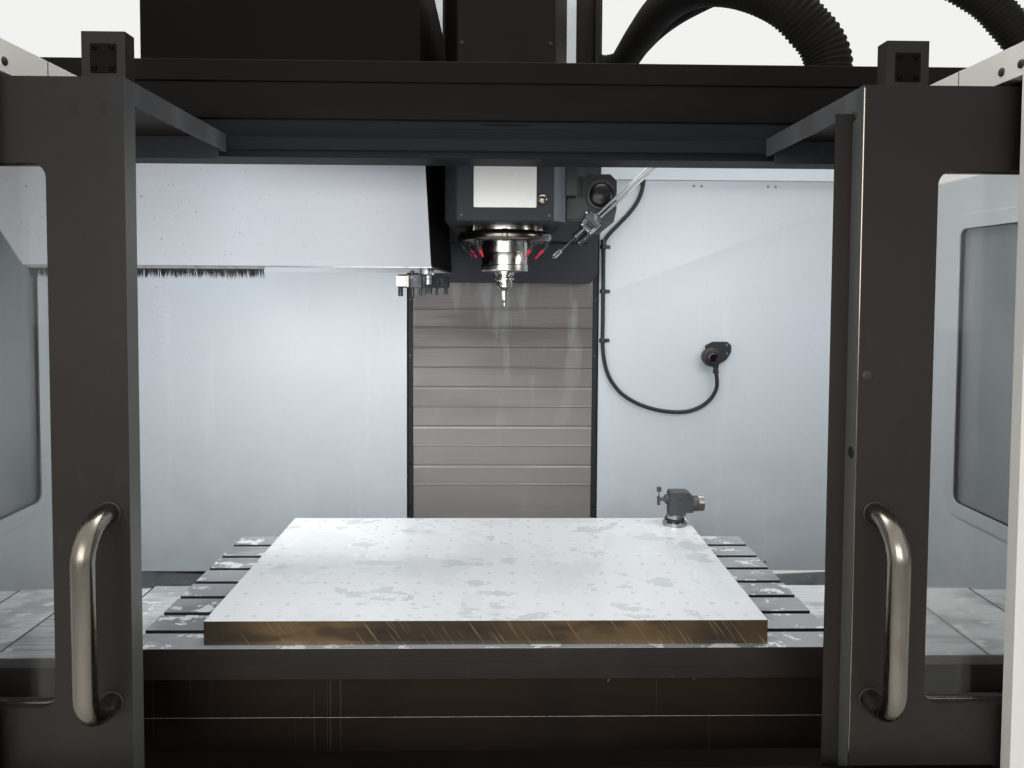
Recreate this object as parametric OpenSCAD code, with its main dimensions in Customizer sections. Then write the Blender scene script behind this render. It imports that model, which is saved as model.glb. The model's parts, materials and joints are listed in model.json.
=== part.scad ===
// Vertical machining center with a moving table, an arm tool changer and an open-topped enclosure.
// X runs along the table, Y runs from the doors to the column and Z is up, with the origin on the floor.

/* [Enclosure] */
// Overall width over the side walls
machine_w = 3700; // [3660:10:4200]
// Overall depth from the pendant to the cabinet door
machine_d = 3200; // [3200:10:3600]
// Height of the front panels and side walls
wall_top = 2150; // [2150:5:2200]
// Thickness of the side walls
wall_t = 60; // [30:5:80]
// Width of the opening between the open doors
opening_w = 1308; // [1200:4:1340]
// Width of each door
door_w = 925; // [885:5:955]
// Height of the top of the doors above the floor
door_top = 2079; // [2040:1:2090]
// Height of the door windows
window_h = 977; // [600:1:1000]
// Sheet thickness of covers and shrouds
sheet_t = 4; // [2:0.5:6]

/* [Travels] */
// Travel of the table to the left and right
x_travel = 1626; // [1200:2:1626]
// Travel of the saddle to the column
y_travel = 762; // [500:2:770]
// Travel of the head downward
z_travel = 762; // [500:2:770]

/* [Table] */
// Height of the table top above the floor
table_h = 900; // [860:5:920]
// Length of the table
table_w = 1626; // [1400:2:1640]
// Depth of the table
table_d = 711; // [640:1:711]
// Thickness of the table at its edge
table_t = 72; // [60:1:74]
// Number of T-slots
slot_count = 7; // [3:1:7]
// Width of a T-slot
slot_w = 16; // [12:1:20]
// Spacing of the T-slots
slot_pitch = 92; // [80:1:95]
// Thickness of the fixture plate
plate_t = 55; // [30:1:60]
// Width of the fixture plate
plate_w = 1286; // [1000:2:1300]
// Diameter of the holes in the fixture plate
plate_hole_d = 12; // [8:0.5:16]

/* [Spindle] */
// Distance from the spindle nose to the table with the head up
nose_gap = 866; // [830:1:880]
// Diameter of the spindle nose
nose_d = 154; // [120:1:160]
// Diameter of the tool flange
flange_d = 63.5; // [50:0.5:80]
// Distance from the changer arm pivot to the spindle axis
arm_reach = 255; // [245:1:260]
// Number of pockets on the tool carousel
pocket_count = 24; // [12:1:24]

/* [Hidden] */
$fn = 48;

// Machine outline
side_x = machine_w / 2;
wall_in = side_x - wall_t;
panel_y = -1400;
front_y = panel_y - 200;
back_y = front_y + machine_d;
column_back = back_y - 400;
panel_t = 24;
door_y = -1350;
door_t = 38;
wall_y = 530;
wall_sheet = 12;
header_y = -880;
low_panel_y = door_y + door_t + 6;
panel_edge_x = 898;
sill_z = 836;

// Bed and rails
foot_h = 60;
bed_top = 430;
bed_x = 480;
bed_y0 = -1098;
rail_h = 45;
rail_w = 45;
run_gap = 0.5;
slide_gap = 0.6;
fit_gap = 0.1;
y_rail_x = 330;
column_y = 625;
column_x = 446;
column_top = 3080;

// Spindle axis and table position at rest
spin_y = -310;
nose_z = table_h + nose_gap;
face_z = nose_z - 2;
table_cx = -37;
table_cy = spin_y - y_travel / 2 - 0.5;
table_y0 = table_cy - table_d / 2;
table_y1 = table_cy + table_d / 2;
slab_z = table_h - table_t;

// Saddle
saddle_y0 = table_y0 + 108;
saddle_y1 = table_y1 - 64;
saddle_low_y1 = table_y1 - 164;
saddle_z0 = bed_top + rail_h + run_gap;
saddle_z1 = slab_z - 143;
saddle_x = 1250;
x_rail_y = 165;
saddle_cy = (saddle_y0 + saddle_y1) / 2;

// Covers over the X ways: five sheets on each side, the highest one on the table
x_cover_n = 4;
x_cover_top = slab_z - 61;
x_cover_sheet = 2.5;
x_cover_gap = x_cover_sheet + slide_gap;
x_cover_y0 = table_y0 + 122;
x_cover_y1 = table_y1 - 59;
x_cover_skirt = 44;
x_carrier = 400;
x_cover_end = wall_in - 70;
x_overlap = 40;
x_cover_l = (x_cover_end + x_travel / 2 - x_carrier + x_cover_n * x_overlap) / (x_cover_n + 1);

// Covers over the Y ways: four sheets in front of the saddle and four behind it
y_cover_n = 3;
y_cover_x = 420;
y_cover_top = saddle_z1 - 75;
y_cover_skirt = 440;
y_cover_sheet = 2;
y_cover_gap = y_cover_sheet + slide_gap;
y_cover_slip = 10;
y_step = y_travel / y_cover_n;
y_cover_l = y_step + 46;
y_cover_front = saddle_y0 - y_cover_l - y_cover_n * y_cover_slip;
y_cover_back = saddle_low_y1 + y_travel + y_cover_n * y_cover_slip + y_cover_l;

// Cover over the Z ways: six sheets, the outermost one on the head
z_cover_n = 5;
z_cover_x = 404;
z_cover_y = 545;
z_cover_sheet = 2.5;
z_cover_gap = z_cover_sheet + slide_gap;
z_cover_pitch = 179;
z_cover_l = 205;
z_step = z_travel / z_cover_n;
z_rail_x = 300;
z_cover_z0 = 650;
z_cover_back = z_cover_y + z_cover_n * z_cover_gap + z_cover_sheet;

// Head
head_z0 = nose_z + 142;
head_z1 = 2600;
head_x = 180;
head_front = spin_y - 240;
carriage_x = 413;
carriage_y0 = 450;
carriage_y1 = 545;
carriage_z0 = nose_z - 31;
carriage_z1 = 2650;
cartridge_d = 190;
spindle_d = 88;

// Tool changer
arm_x = -arm_reach;
arm_z1 = nose_z - 16;
arm_t = 38;
cover_y0 = -620;
cover_y1 = 230;
carousel_x = -985;
carousel_z = 2230;
pocket_r = 300;
pocket_d = 66;
carousel_y = -215;
carousel_bore_d = 62;
arm_shaft_d = 50;

// Doors
door_mid_x = -21;
left_edge = door_mid_x - opening_w / 2;
right_edge = door_mid_x + opening_w / 2;
door_z0 = 690;
window_margin = 138;
window_z0 = 951;
window_r = 26;
handle_d = 38;
handle_h = 384;
handle_z = 1134;
handle_in = 37;
handle_reach = 81;
handle_bend = 64;
lap_w = 32;

module box(x0, x1, y0, y1, z0, z1) {
    translate([x0, y0, z0]) cube([x1 - x0, y1 - y0, z1 - z0]);
}

module both_sides() {
    children();
    mirror([1, 0, 0]) children();
}

// Outline given as X and Z, extruded along Y
module along_y(points, y0, y1) {
    translate([0, y1, 0]) rotate([90, 0, 0]) linear_extrude(y1 - y0) polygon(points);
}

// Outline given as Y and Z, extruded along X
module along_x(points, x0, x1) {
    translate([x0, 0, 0]) rotate([90, 0, 90]) linear_extrude(x1 - x0) polygon(points);
}

module rod_x(x0, x1, y, z, d) {
    translate([x0, y, z]) rotate([0, 90, 0]) cylinder(h = x1 - x0, d = d);
}

module rod_y(x, y0, y1, z, d) {
    translate([x, y0, z]) rotate([-90, 0, 0]) cylinder(h = y1 - y0, d = d);
}

module rod_z(x, y, z0, z1, d) {
    translate([x, y, z0]) cylinder(h = z1 - z0, d = d);
}

// Ring of tubes swept along a list of points, with the ring held square to the path
function unit(v) = v / norm(v);
function path_dir(path, i) = unit(path[min(i + 1, len(path) - 1)] - path[max(i - 1, 0)]);
function ring_at(path, i, r, sides, n) =
    let (t = path_dir(path, i), b = unit(cross(t, n)), m = cross(b, t))
    [for (k = [0:sides - 1]) path[i] + r * (cos(360 * k / sides) * b + sin(360 * k / sides) * m)];

module tube_along(path, r, sides, n = [0, 1, 0]) {
    last = len(path) - 1;
    points = [for (i = [0:last]) each ring_at(path, i, r, sides, n)];
    sleeve = [for (i = [0:last - 1], k = [0:sides - 1])
        let (a = i * sides + k, b = i * sides + (k + 1) % sides)
        each [[a, b + sides, a + sides], [a, b, b + sides]]];
    ends = [[for (k = [sides - 1:-1:0]) k], [for (k = [0:sides - 1]) last * sides + k]];
    polyhedron(points, concat(sleeve, ends));
}

// Feet, bed and column

module base() {
    color("#2a2c2e") {
        for (x = [-bed_x + 70, bed_x - 70], y = [bed_y0 + 80, -300, 500, column_back - 100]) {
            rod_z(x, y, 0, 22, 120);
            rod_z(x, y, 21, foot_h + 1, 36);
        }
        box(-bed_x, bed_x, bed_y0, column_back, foot_h, bed_top);
    }
}

module y_rails() {
    color("silver") both_sides() {
        box(y_rail_x - rail_w / 2, y_rail_x + rail_w / 2, bed_y0 + 10, column_y - 10, bed_top, bed_top + rail_h);
    }
}

// Shoe that straddles a rail running along Y, hung below the height z
module shoe_y(x, y0, y1, z) {
    for (side = [-1, 1]) {
        x_in = x + side * (rail_w / 2 + run_gap);
        x_out = x + side * (rail_w / 2 + 30);
        box(min(x_in, x_out), max(x_in, x_out), y0, y1, z - rail_h + 8, z + 1);
    }
}

module saddle() {
    color("#3a3c3f") {
        box(-saddle_x, saddle_x, saddle_y0, saddle_y1, saddle_z1 - 70, saddle_z1);
        box(-saddle_x, saddle_x, saddle_y0 - 42, saddle_y0 + 1, saddle_z1 - 70, slab_z - 5);
        box(-bed_x + 40, bed_x - 40, saddle_y0, saddle_low_y1, saddle_z0, saddle_z1 - 69);
        for (x = [-y_rail_x, y_rail_x]) {
            shoe_y(x, saddle_y0 + 10, saddle_y0 + 130, saddle_z0);
            shoe_y(x, saddle_low_y1 - 130, saddle_low_y1 - 10, saddle_z0);
        }
        x_end_z = x_cover_top - x_cover_n * x_cover_gap - x_cover_sheet;
        both_sides() {
            box(saddle_x - 1, x_cover_end, saddle_y0 + 30, saddle_y1 - 30, saddle_z1 - 45, saddle_z1 - 33);
            box(x_cover_end - 8, x_cover_end, x_cover_y0 + 20, x_cover_y1 - 20, saddle_z1 - 34, x_end_z);
        }
    }
}

module x_rails() {
    color("silver") for (side = [-1, 1]) {
        y = saddle_cy + side * x_rail_y;
        box(-saddle_x + 15, saddle_x - 15, y - rail_w / 2, y + rail_w / 2, saddle_z1, saddle_z1 + rail_h);
    }
}

// Table, fixture plate and tool setter

module t_slot(y) {
    box(table_cx - table_w / 2 - 1, table_cx + table_w / 2 + 1, y - slot_w / 2, y + slot_w / 2, table_h - 34, table_h + 1);
    box(table_cx - table_w / 2 - 1, table_cx + table_w / 2 + 1, y - slot_w, y + slot_w, table_h - 34, table_h - 20);
}

module table() {
    carriage_z = saddle_z1 + rail_h + run_gap;
    color("#7d8286") {
        difference() {
            box(table_cx - table_w / 2, table_cx + table_w / 2, table_y0, table_y1, slab_z, table_h);
            for (i = [0:slot_count - 1]) t_slot(table_cy + (i - (slot_count - 1) / 2) * slot_pitch);
        }
        box(table_cx - x_carrier, table_cx + x_carrier, saddle_y0 + 10, saddle_y1 - 10, carriage_z, slab_z + 1);
        for (side = [-1, 1], x = [table_cx - x_carrier + 20, table_cx + x_carrier - 140], s = [-1, 1]) {
            y = saddle_cy + side * x_rail_y;
            y_in = y + s * (rail_w / 2 + run_gap);
            y_out = y + s * (rail_w / 2 + 30);
            box(x, x + 120, min(y_in, y_out), max(y_in, y_out), carriage_z - rail_h + 8, carriage_z + 1);
        }
    }
}

plate_x0 = table_cx - table_w / 2 + 168;
plate_y0 = table_y0 + 16;
plate_pitch = 60;

module fixture_plate() {
    cols = floor((plate_w - 60) / plate_pitch);
    rows = floor((table_d - 50) / plate_pitch);
    color("#d9dad6") difference() {
        box(plate_x0, plate_x0 + plate_w, plate_y0, plate_y0 + table_d, table_h, table_h + plate_t);
        for (i = [0:cols], j = [0:rows]) {
            x = plate_x0 + (plate_w - cols * plate_pitch) / 2 + i * plate_pitch;
            y = plate_y0 + (table_d - rows * plate_pitch) / 2 + j * plate_pitch;
            rod_z(x, y, table_h - 1, table_h + plate_t + 1, plate_hole_d);
        }
    }
}

module tool_setter() {
    x = plate_x0 + plate_w - 52;
    y = plate_y0 + table_d - 60;
    z = table_h + plate_t;
    color("#55585a") {
        rod_z(x, y, z, z + 12, 75);
        rod_z(x, y, z + 11, z + 46, 34);
        box(x - 40, x + 46, y - 26, y + 26, z + 45, z + 92);
        rod_z(x - 24, y, z + 91, z + 112, 22);
        rod_x(x + 45, x + 78, y, z + 68, 40);
        rod_x(x - 62, x - 39, y, z + 74, 16);
        rod_z(x - 62, y, z + 60, z + 104, 9);
    }
}

// Telescopic sheets

// Sheet k of the X covers: k = 0 stays with the saddle and k = 4 with the table
module x_cover(k) {
    color("#8f9699") both_x_sheets(k);
}

module both_x_sheets(k) {
    top = x_cover_top - (x_cover_n - k) * x_cover_gap;
    inset = (x_cover_n - k) * x_cover_gap;
    length = x_cover_l;
    for (side = [-1, 1]) {
        reach = x_cover_end - (x_carrier + side * table_cx);
        near = x_carrier + side * table_cx + (1 - k / x_cover_n) * (reach - length);
        x0 = side > 0 ? near : -near - length;
        y0 = x_cover_y0 + inset;
        y1 = x_cover_y1 - inset;
        box(x0, x0 + length, y0, y1, top - x_cover_sheet, top);
        box(x0, x0 + length, y0, y0 + x_cover_sheet, top - x_cover_skirt, top);
        box(x0, x0 + length, y1 - x_cover_sheet, y1, top - x_cover_skirt, top);
    }
}

// Sheet k of the Y covers: k = 0 stays with the bed and k = 3 with the saddle
module y_sheet(k, y0, y1) {
    inset = k * y_cover_gap;
    t = y_cover_sheet;
    top = y_cover_top - inset;
    half = y_cover_x - inset;
    shoulder = half - 130;
    outer = [[-half, y_cover_skirt], [-half, top - 70], [-shoulder, top], [shoulder, top], [half, top - 70],
        [half, y_cover_skirt]];
    inner = [[half - t, y_cover_skirt], [half - t, top - 70 - t], [shoulder - t, top - t], [-shoulder + t, top - t],
        [-half + t, top - 70 - t], [-half + t, y_cover_skirt]];
    along_y(concat(outer, inner), y0, y1);
}

module y_cover(k) {
    slip = (y_cover_n - k) * y_cover_slip;
    color("#8f9699") {
        y_sheet(k, saddle_y0 - y_cover_l - slip, saddle_y0 - slip);
        far = saddle_low_y1 + y_travel + slip - k * y_step;
        y_sheet(k, far, far + y_cover_l);
    }
}

// Sheet k of the Z cover: k = 0 stays with the column and k = 5 with the head
module z_cover(k) {
    edge = carriage_z0 - (z_cover_n - k) * z_cover_pitch;
    top = k == z_cover_n ? edge + 30 : edge;
    front = z_cover_y + (z_cover_n - k) * z_cover_gap;
    bottom = k == 0 ? z_cover_z0 : edge - z_cover_l;
    groove = edge - z_cover_l + z_cover_pitch / 2;
    color("#9a9fa2") difference() {
        union() {
            box(-z_cover_x, z_cover_x, front, front + z_cover_sheet, bottom, top);
            box(-z_cover_x, z_cover_x, front - 1.5, front + 1, bottom, bottom + 9);
        }
        if (k > 0) box(-z_cover_x - 1, z_cover_x + 1, front - 1, front + 0.8, groove - 2, groove + 2);
    }
}

// Column, head and spindle

module column() {
    color("#26282a") {
        along_x([[column_y, bed_top], [column_back, bed_top], [column_back, 1300], [column_back - 120, column_top],
            [column_y, column_top]], -column_x, column_x);
        both_sides() box(z_cover_x + slide_gap, 427, carriage_y1 + 3, column_y + 1, 640, column_top - 40);
        box(-z_cover_x - 1, z_cover_x + 1, z_cover_back, column_y + 1, z_cover_z0, z_cover_z0 + 50);
        box(-290, 290, y_cover_back, column_y + 1, bed_top, y_cover_top);
    }
}

module z_rails() {
    color("silver") both_sides() {
        box(z_rail_x - rail_w / 2, z_rail_x + rail_w / 2, column_y - 40, column_y, 890, column_top - 20);
    }
}

module head() {
    plan = [[-142, head_front], [142, head_front], [head_x, head_front + 42], [head_x, 280], [370, carriage_y0 + 1],
        [-370, carriage_y0 + 1], [-head_x, 280], [-head_x, head_front + 42]];
    apron = [[-carriage_x + 35, carriage_z0], [carriage_x - 35, carriage_z0], [carriage_x, carriage_z0 + 35],
        [carriage_x, carriage_z1], [-carriage_x, carriage_z1], [-carriage_x, carriage_z0 + 35]];
    color("#34373a") {
        difference() {
            translate([0, 0, head_z0]) linear_extrude(head_z1 - head_z0) polygon(plan);
            rod_z(0, spin_y, head_z0 - 1, head_z1 + 1, cartridge_d + 2);
        }
        along_y(apron, carriage_y0, carriage_y1);
        for (x = [-z_rail_x, z_rail_x], z = [carriage_z0 + 60, carriage_z1 - 240], s = [-1, 1]) {
            x_in = x + s * (rail_w / 2 + run_gap);
            x_out = x + s * (rail_w / 2 + 34);
            box(min(x_in, x_out), max(x_in, x_out), carriage_y1 - 1, column_y - 8, z, z + 180);
        }
        for (x = [-z_rail_x, z_rail_x], z = [carriage_z0 + 60, carriage_z1 - 240]) {
            box(x - rail_w / 2 - 10, x + rail_w / 2 + 10, carriage_y1 - 1, column_y - 40 - run_gap, z, z + 180);
        }
    }
}

module spindle_housing() {
    color("#b9bcbd") translate([0, spin_y, 0]) rotate_extrude($fn = 96) polygon([
        [spindle_d / 2 + 0.5, nose_z], [nose_d / 2 - 4, nose_z], [nose_d / 2, nose_z + 3], [nose_d / 2, nose_z + 9],
        [nose_d / 2 - 3, nose_z + 11], [nose_d / 2 - 3, nose_z + 14], [nose_d / 2, nose_z + 16],
        [nose_d / 2, nose_z + 21], [nose_d / 2 - 3, nose_z + 23], [nose_d / 2 - 3, head_z0 - 14],
        [125, head_z0 - 14], [125, head_z0], [cartridge_d / 2, head_z0], [cartridge_d / 2, head_z1 - 120],
        [spindle_d / 2 + 0.5, head_z1 - 120]]);
}

module spindle() {
    color("#9fa3a6") translate([0, spin_y, 0]) rotate_extrude($fn = 96) polygon([
        [22.9, face_z], [spindle_d / 2, face_z], [spindle_d / 2, head_z1 - 60], [30, head_z1 - 60],
        [30, head_z1 - 20], [0, head_z1 - 20], [0, face_z + 120], [9, face_z + 120], [9, face_z + 70],
        [13.2, face_z + 70]]);
}

module tool() {
    r = flange_d / 2;
    color("#c8cbcc") translate([0, spin_y, 0]) rotate_extrude($fn = 64) polygon([
        [0, face_z - 112], [2, face_z - 112], [3.5, face_z - 106], [3.5, face_z - 98], [10.5, face_z - 91],
        [10.5, face_z - 60], [13, face_z - 59], [26, face_z - 47], [26, face_z - 25], [r, face_z - 25],
        [r, face_z - 18], [r - 5, face_z - 13], [r, face_z - 8], [r, face_z], [22.4, face_z], [12.8, face_z + 66],
        [0, face_z + 66]]);
}

module spindle_motor() {
    color("#1f2123") {
        box(-125, 125, spin_y - 125, spin_y + 125, head_z1, head_z1 + 22);
        rod_z(0, spin_y, head_z1 + 21, head_z1 + 300, 220);
        box(60, 150, spin_y - 45, spin_y + 45, head_z1 + 120, head_z1 + 230);
    }
}

ring_z = head_z0 - 31;
ring_r = 136;
ring_tube = 34;

module coolant_ring() {
    color("#8d9295") translate([0, spin_y, 0]) {
        translate([0, 0, ring_z]) rotate_extrude($fn = 96) translate([ring_r, 0]) circle(d = ring_tube, $fn = 32);
        for (a = [45, 135, 225, 315]) {
            rotate([0, 0, a]) translate([ring_r, 0, ring_z]) cylinder(h = head_z0 - ring_z, d = 20);
        }
        for (a = [-135, -105, -60, -20, 60, 150]) {
            rotate([0, 0, a]) translate([ring_r, 0, ring_z - 14]) {
                rotate([180, 0, 0]) cylinder(h = 22, d = 17);
                translate([0, 0, -20]) rotate([0, -150, 0]) cylinder(h = 34, d1 = 12, d2 = 6);
            }
        }
    }
}

spigot_x = 271;
spigot_y = -450;
spigot_z = head_z0 + 11;
spigot_tilt = 47;

module spigot_drive() {
    color("#1c1d1f") {
        box(head_x, head_x + 34, spigot_y - 60, spigot_y + 60, spigot_z + 71, spigot_z + 191);
        box(head_x + 33, spigot_x - 30, spigot_y + 20, spigot_y + 90, spigot_z + 81, spigot_z + 141);
        box(head_x + 9, spigot_x - 28, spigot_y + 14, spigot_y + 30, spigot_z + 1, spigot_z + 77);
        rod_y(spigot_x, spigot_y + 12 + run_gap, spigot_y + 60, spigot_z, 58);
        translate([spigot_x, 0, spigot_z]) along_y([[-35, -14], [-35, 126], [-15, 146], [53, 146], [73, 126], [73, 40],
            [65, 0], [19, -38], [-12, -38]], spigot_y + 14, spigot_y + 90);
    }
}

module spigot() {
    color("#a9adaf") translate([spigot_x, spigot_y, spigot_z]) {
        rotate([-90, 0, 0]) translate([0, 0, -26]) cylinder(h = 38, d = 44);
        rotate([0, spigot_tilt, 0]) {
            translate([0, -8, 0]) cylinder(h = 330, d = 16);
            translate([0, -8, -84]) cylinder(h = 84, d = 28);
            translate([0, -8, -134]) cylinder(h = 51, d = 8);
            translate([0, -8, -164]) cylinder(h = 32, d = 17);
        }
    }
}

// Tool changer

module changer_cover() {
    z0 = 1772;
    z1 = 2300;
    z2 = 2690;
    low = [[-1346, z0], [-209, z0], [-240, z1], [-1640, z1], [-1640, 2240]];
    low_in = [[-1346 + sheet_t, z0 - 1], [-209 - sheet_t, z0 - 1], [-240 - sheet_t, z1 + 1], [-1640 + sheet_t, z1 + 1],
        [-1640 + sheet_t, 2240]];
    color("#e4e7ea") {
        difference() {
            along_y(low, cover_y0, cover_y1);
            along_y(low_in, cover_y0 + sheet_t, cover_y1 - sheet_t);
            box(-961, -434, cover_y1 - sheet_t - 1, cover_y1 + 1, 1999, 2261);
        }
        difference() {
            box(-1640, -240, cover_y0, cover_y1, z1 - sheet_t, z1);
            box(-1014 + 10, -250, cover_y0 + 10, cover_y1 - 10, z1 - sheet_t - 1, z1 + 1);
        }
    }
    color("#1d1e20") difference() {
        box(-1014, -241, cover_y0 + 2, cover_y1, z1, z2);
        box(-1014 + sheet_t, -241 - sheet_t, cover_y0 + 2 + sheet_t, cover_y1 - sheet_t, z1 - 1, z2 - sheet_t);
    }
}

module changer_drive() {
    inner_y = cover_y1 - sheet_t;
    color("#3b3e41") {
        difference() {
            union() {
                box(arm_x - 75, arm_x + 9, spin_y + 60, inner_y - 10, 1900, 2160);
                box(arm_x - 75, arm_x + 26, spin_y - 75, spin_y + 75, 1860, 1960);
            }
            rod_z(arm_x, spin_y, 1850, 2170, arm_shaft_d + 2 * fit_gap);
        }
        box(-1003, arm_x, inner_y - 20, inner_y, 1980, 2275);
        box(-1003, -989, carousel_y - 60, inner_y - 10, carousel_z - 45, carousel_z + 40);
        rod_x(-990, carousel_x + 25, carousel_y, carousel_z, carousel_bore_d - 2 * fit_gap);
        rod_x(carousel_x + 20 + run_gap, carousel_x + 32, carousel_y, carousel_z, 96);
        box(-960, -435, inner_y - 1, cover_y1 + 40, 2000, 2260);
        along_x([[cover_y1 + 20, 2005], [wall_y - 30, 2122], [wall_y + 20, 2122], [wall_y + 20, 2260],
            [cover_y1 + 20, 2260]], -740, -660);
        box(-740, -column_x, wall_y + 19, column_y + 200, 2122, 2260);
    }
}

module carousel() {
    color("#5c6063") translate([carousel_x, carousel_y, carousel_z]) rotate([0, 90, 0]) {
        difference() {
            cylinder(h = 20, r = pocket_r + 20, $fn = 96);
            translate([0, 0, -1]) cylinder(h = 22, d = carousel_bore_d);
        }
        for (i = [0:pocket_count - 1]) {
            rotate([0, 0, i * 360 / pocket_count]) translate([pocket_r, 0, 19]) cylinder(h = 96, d = pocket_d);
        }
    }
}

module arm_shaft() {
    color("#c2c5c7") {
        rod_z(arm_x, spin_y, arm_z1 + 6, 1990, arm_shaft_d);
    }
}

// Gripper arm: two hooks that close on a tool flange as the arm turns
module changer_arm() {
    z0 = arm_z1 - arm_t;
    color("#74797c") translate([arm_x, spin_y, 0]) {
        rod_z(0, 0, z0, arm_z1 + 5.5, 84);
        for (turn = [0, 180]) rotate([0, 0, turn]) difference() {
            union() {
                box(-26, 26, -arm_reach + 44, -30, z0, arm_z1);
                rod_z(0, -arm_reach, z0, arm_z1, 112);
            }
            rod_z(0, -arm_reach, z0 - 1, arm_z1 + 1, flange_d + 3);
            box(0, 80, -arm_reach - flange_d / 2 - 1.5, -arm_reach + flange_d / 2 + 5, z0 - 1, arm_z1 + 1);
            box(20, 80, -arm_reach - 80, -arm_reach + 60, z0 - 1, arm_z1 + 1);
        }
    }
}

// Enclosure

module side_walls() {
    color("#c9cfd2") both_sides() difference() {
        box(wall_in, side_x, panel_y + panel_t, wall_y + wall_sheet, foot_h, wall_top);
        box(wall_in - 1, side_x + 1, -950, 150, 850, 1980);
    }
    color("#20262b") both_sides() box(wall_in + 20, wall_in + 26, -950, 150, 850, 1980);
}

channel_z = 2195;
channel_d = 26;

module back_wall() {
    color("#c6cdd1") {
        both_sides() {
            box(430, wall_in, wall_y, wall_y + wall_sheet, bed_top, 2119);
            box(430, wall_in, wall_y, wall_y + 3, 2262, 2360);
        }
        box(430, wall_in, wall_y, wall_y + wall_sheet, 2118, 2263);
        box(-wall_in, -741, wall_y, wall_y + wall_sheet, 2118, 2263);
        box(430, wall_in, wall_y - channel_d, wall_y + 1, channel_z, 2262);
        for (z = [1480, 1700, 1898]) p_clip(z);
    }
}

// Clip that holds the conduit off the wall
module p_clip(z) {
    difference() {
        union() {
            rod_z(446, conduit_y, z - 8, z + 8, 2 * conduit_r + 6);
            box(446, 482, wall_y - 4, wall_y + 1, z - 8, z + 8);
        }
        rod_z(446, conduit_y, z - 9, z + 9, 2 * conduit_r + 2 * fit_gap);
    }
}

module front_panels() {
    color("#dcdddc") both_sides() {
        box(panel_edge_x, side_x, panel_y, panel_y + panel_t, foot_h, wall_top);
        box(panel_edge_x, wall_in, panel_y + panel_t - 1, header_y, wall_top - 20, wall_top);
        box(panel_edge_x, panel_edge_x + 40, panel_y + panel_t - 1, header_y, wall_top - 58, wall_top - 19);
    }
    color("#2b2926") {
        box(-panel_edge_x - 1, panel_edge_x + 1, panel_y + 2, panel_y + 22, foot_h, sill_z);
        box(-panel_edge_x - 1, panel_edge_x + 1, panel_y + 21, door_y - 2, sill_z - 5, sill_z);
        box(-wall_in, wall_in, low_panel_y, low_panel_y + 20, foot_h, 760);
        box(-wall_in, wall_in, low_panel_y + 19, -1189, 754, 760);
        box(-side_x + 90, side_x - 90, door_y + 6, low_panel_y + 1, 660, door_z0 - run_gap);
        both_sides() box(wall_in - 60, wall_in, panel_y + panel_t - 1, low_panel_y + 1, foot_h, 640);
        box(-290, 290, low_panel_y + 19, y_cover_front, y_cover_skirt, y_cover_top);
    }
}

module header() {
    y0 = header_y;
    profile = [[y0 + 12, 2030], [y0 + 120, 2030], [y0 + 120, 2259], [y0 - 8, 2259], [y0 - 8, 2208], [y0, 2208],
        [y0, 2121], [y0 + 12, 2121]];
    color("#232527") {
        along_x(profile, -wall_in, wall_in);
        both_sides() box(wall_in - 1, side_x, y0, y0 + 120, wall_top, 2259);
        box(-wall_in, wall_in, y0 + 110, y0 + 120, 2258, 2285);
        box(-wall_in, wall_in, y0 - 10 + run_gap, y0 + 13, door_top - 34, door_top - 4);
    }
}

module work_lights() {
    color("#eef3f5") for (x = [-900, 100]) {
        box(x, x + 800, header_y + 120, header_y + 170, 2130, 2190);
    }
}

module chip_trays() {
    color("#4a4d50") {
        both_sides() {
            along_y([[bed_x, 380], [wall_in, 430], [wall_in, 436], [bed_x, 386]], -1100, wall_y);
            box(bed_x, wall_in, -1106, -1100, 200, 436);
        }
        along_x([[-1106, 200], [-1106, 436], [-1112, 436], [-1112, 206], [low_panel_y + 26, 206], [low_panel_y + 26, 436],
            [low_panel_y + 20, 436], [low_panel_y + 20, 200]], -wall_in, wall_in);
    }
}

auger_y = -1200;
auger_z = 275;

module auger() {
    color("#6d7174") {
        rod_x(-wall_in + run_gap, wall_in - run_gap, auger_y, auger_z, 34);
        last = floor((2 * wall_in - 200) / 100);
        for (i = [0:last]) rod_x((i - last / 2) * 100, (i - last / 2) * 100 + 6, auger_y, auger_z, 116);
    }
}

// Doors: side is -1 for the left door and 1 for the right one, and the door's outline grows outward from its inner edge
module door(side) {
    edge = side < 0 ? -left_edge : right_edge;
    far = edge + door_w;
    lip_y = header_y - 10;
    hanger = edge + (side < 0 ? 12 : 55);
    color("#2b2926") mirror([side < 0 ? 1 : 0, 0, 0]) {
        difference() {
            box(edge, far, door_y, door_y + door_t, door_z0, door_top);
            door_window_outline(edge, door_y - 1, door_t + 2, 0);
        }
        box(edge, far, door_y + door_t - 1, lip_y, door_top - 6, door_top);
        box(edge, far, lip_y - 6, lip_y, door_top - 40, door_top);
        box(edge, edge + 6, door_y + door_t - 1, lip_y, door_top - 41, door_top);
        box(hanger, hanger + 78, door_y + 30, door_y + 62, door_top - 1, door_top + 89);
    }
}

module door_window_outline(edge, y, t, grow) {
    w = door_w - 2 * window_margin;
    translate([edge + window_margin - grow, y + t, window_z0 - grow]) rotate([90, 0, 0]) linear_extrude(t)
        rounded(w + 2 * grow, window_h + 2 * grow, window_r + grow);
}

module rounded(w, h, r) {
    union() {
        translate([r, 0]) square([w - 2 * r, h]);
        translate([0, r]) square([w, h - 2 * r]);
        for (x = [r, w - r], y = [r, h - r]) translate([x, y]) circle(r = r);
    }
}

module left_door() {
    door(-1);
}

module right_door() {
    door(1);
    lap_y = door_y + door_t + run_gap;
    color("#2b2926") {
        box(right_edge - lap_w, right_edge + 20, lap_y, lap_y + 3, door_z0, door_top - 42);
        box(right_edge, right_edge + 20, lap_y - 2, lap_y + 3, door_z0, door_top - 42);
    }
}

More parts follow.
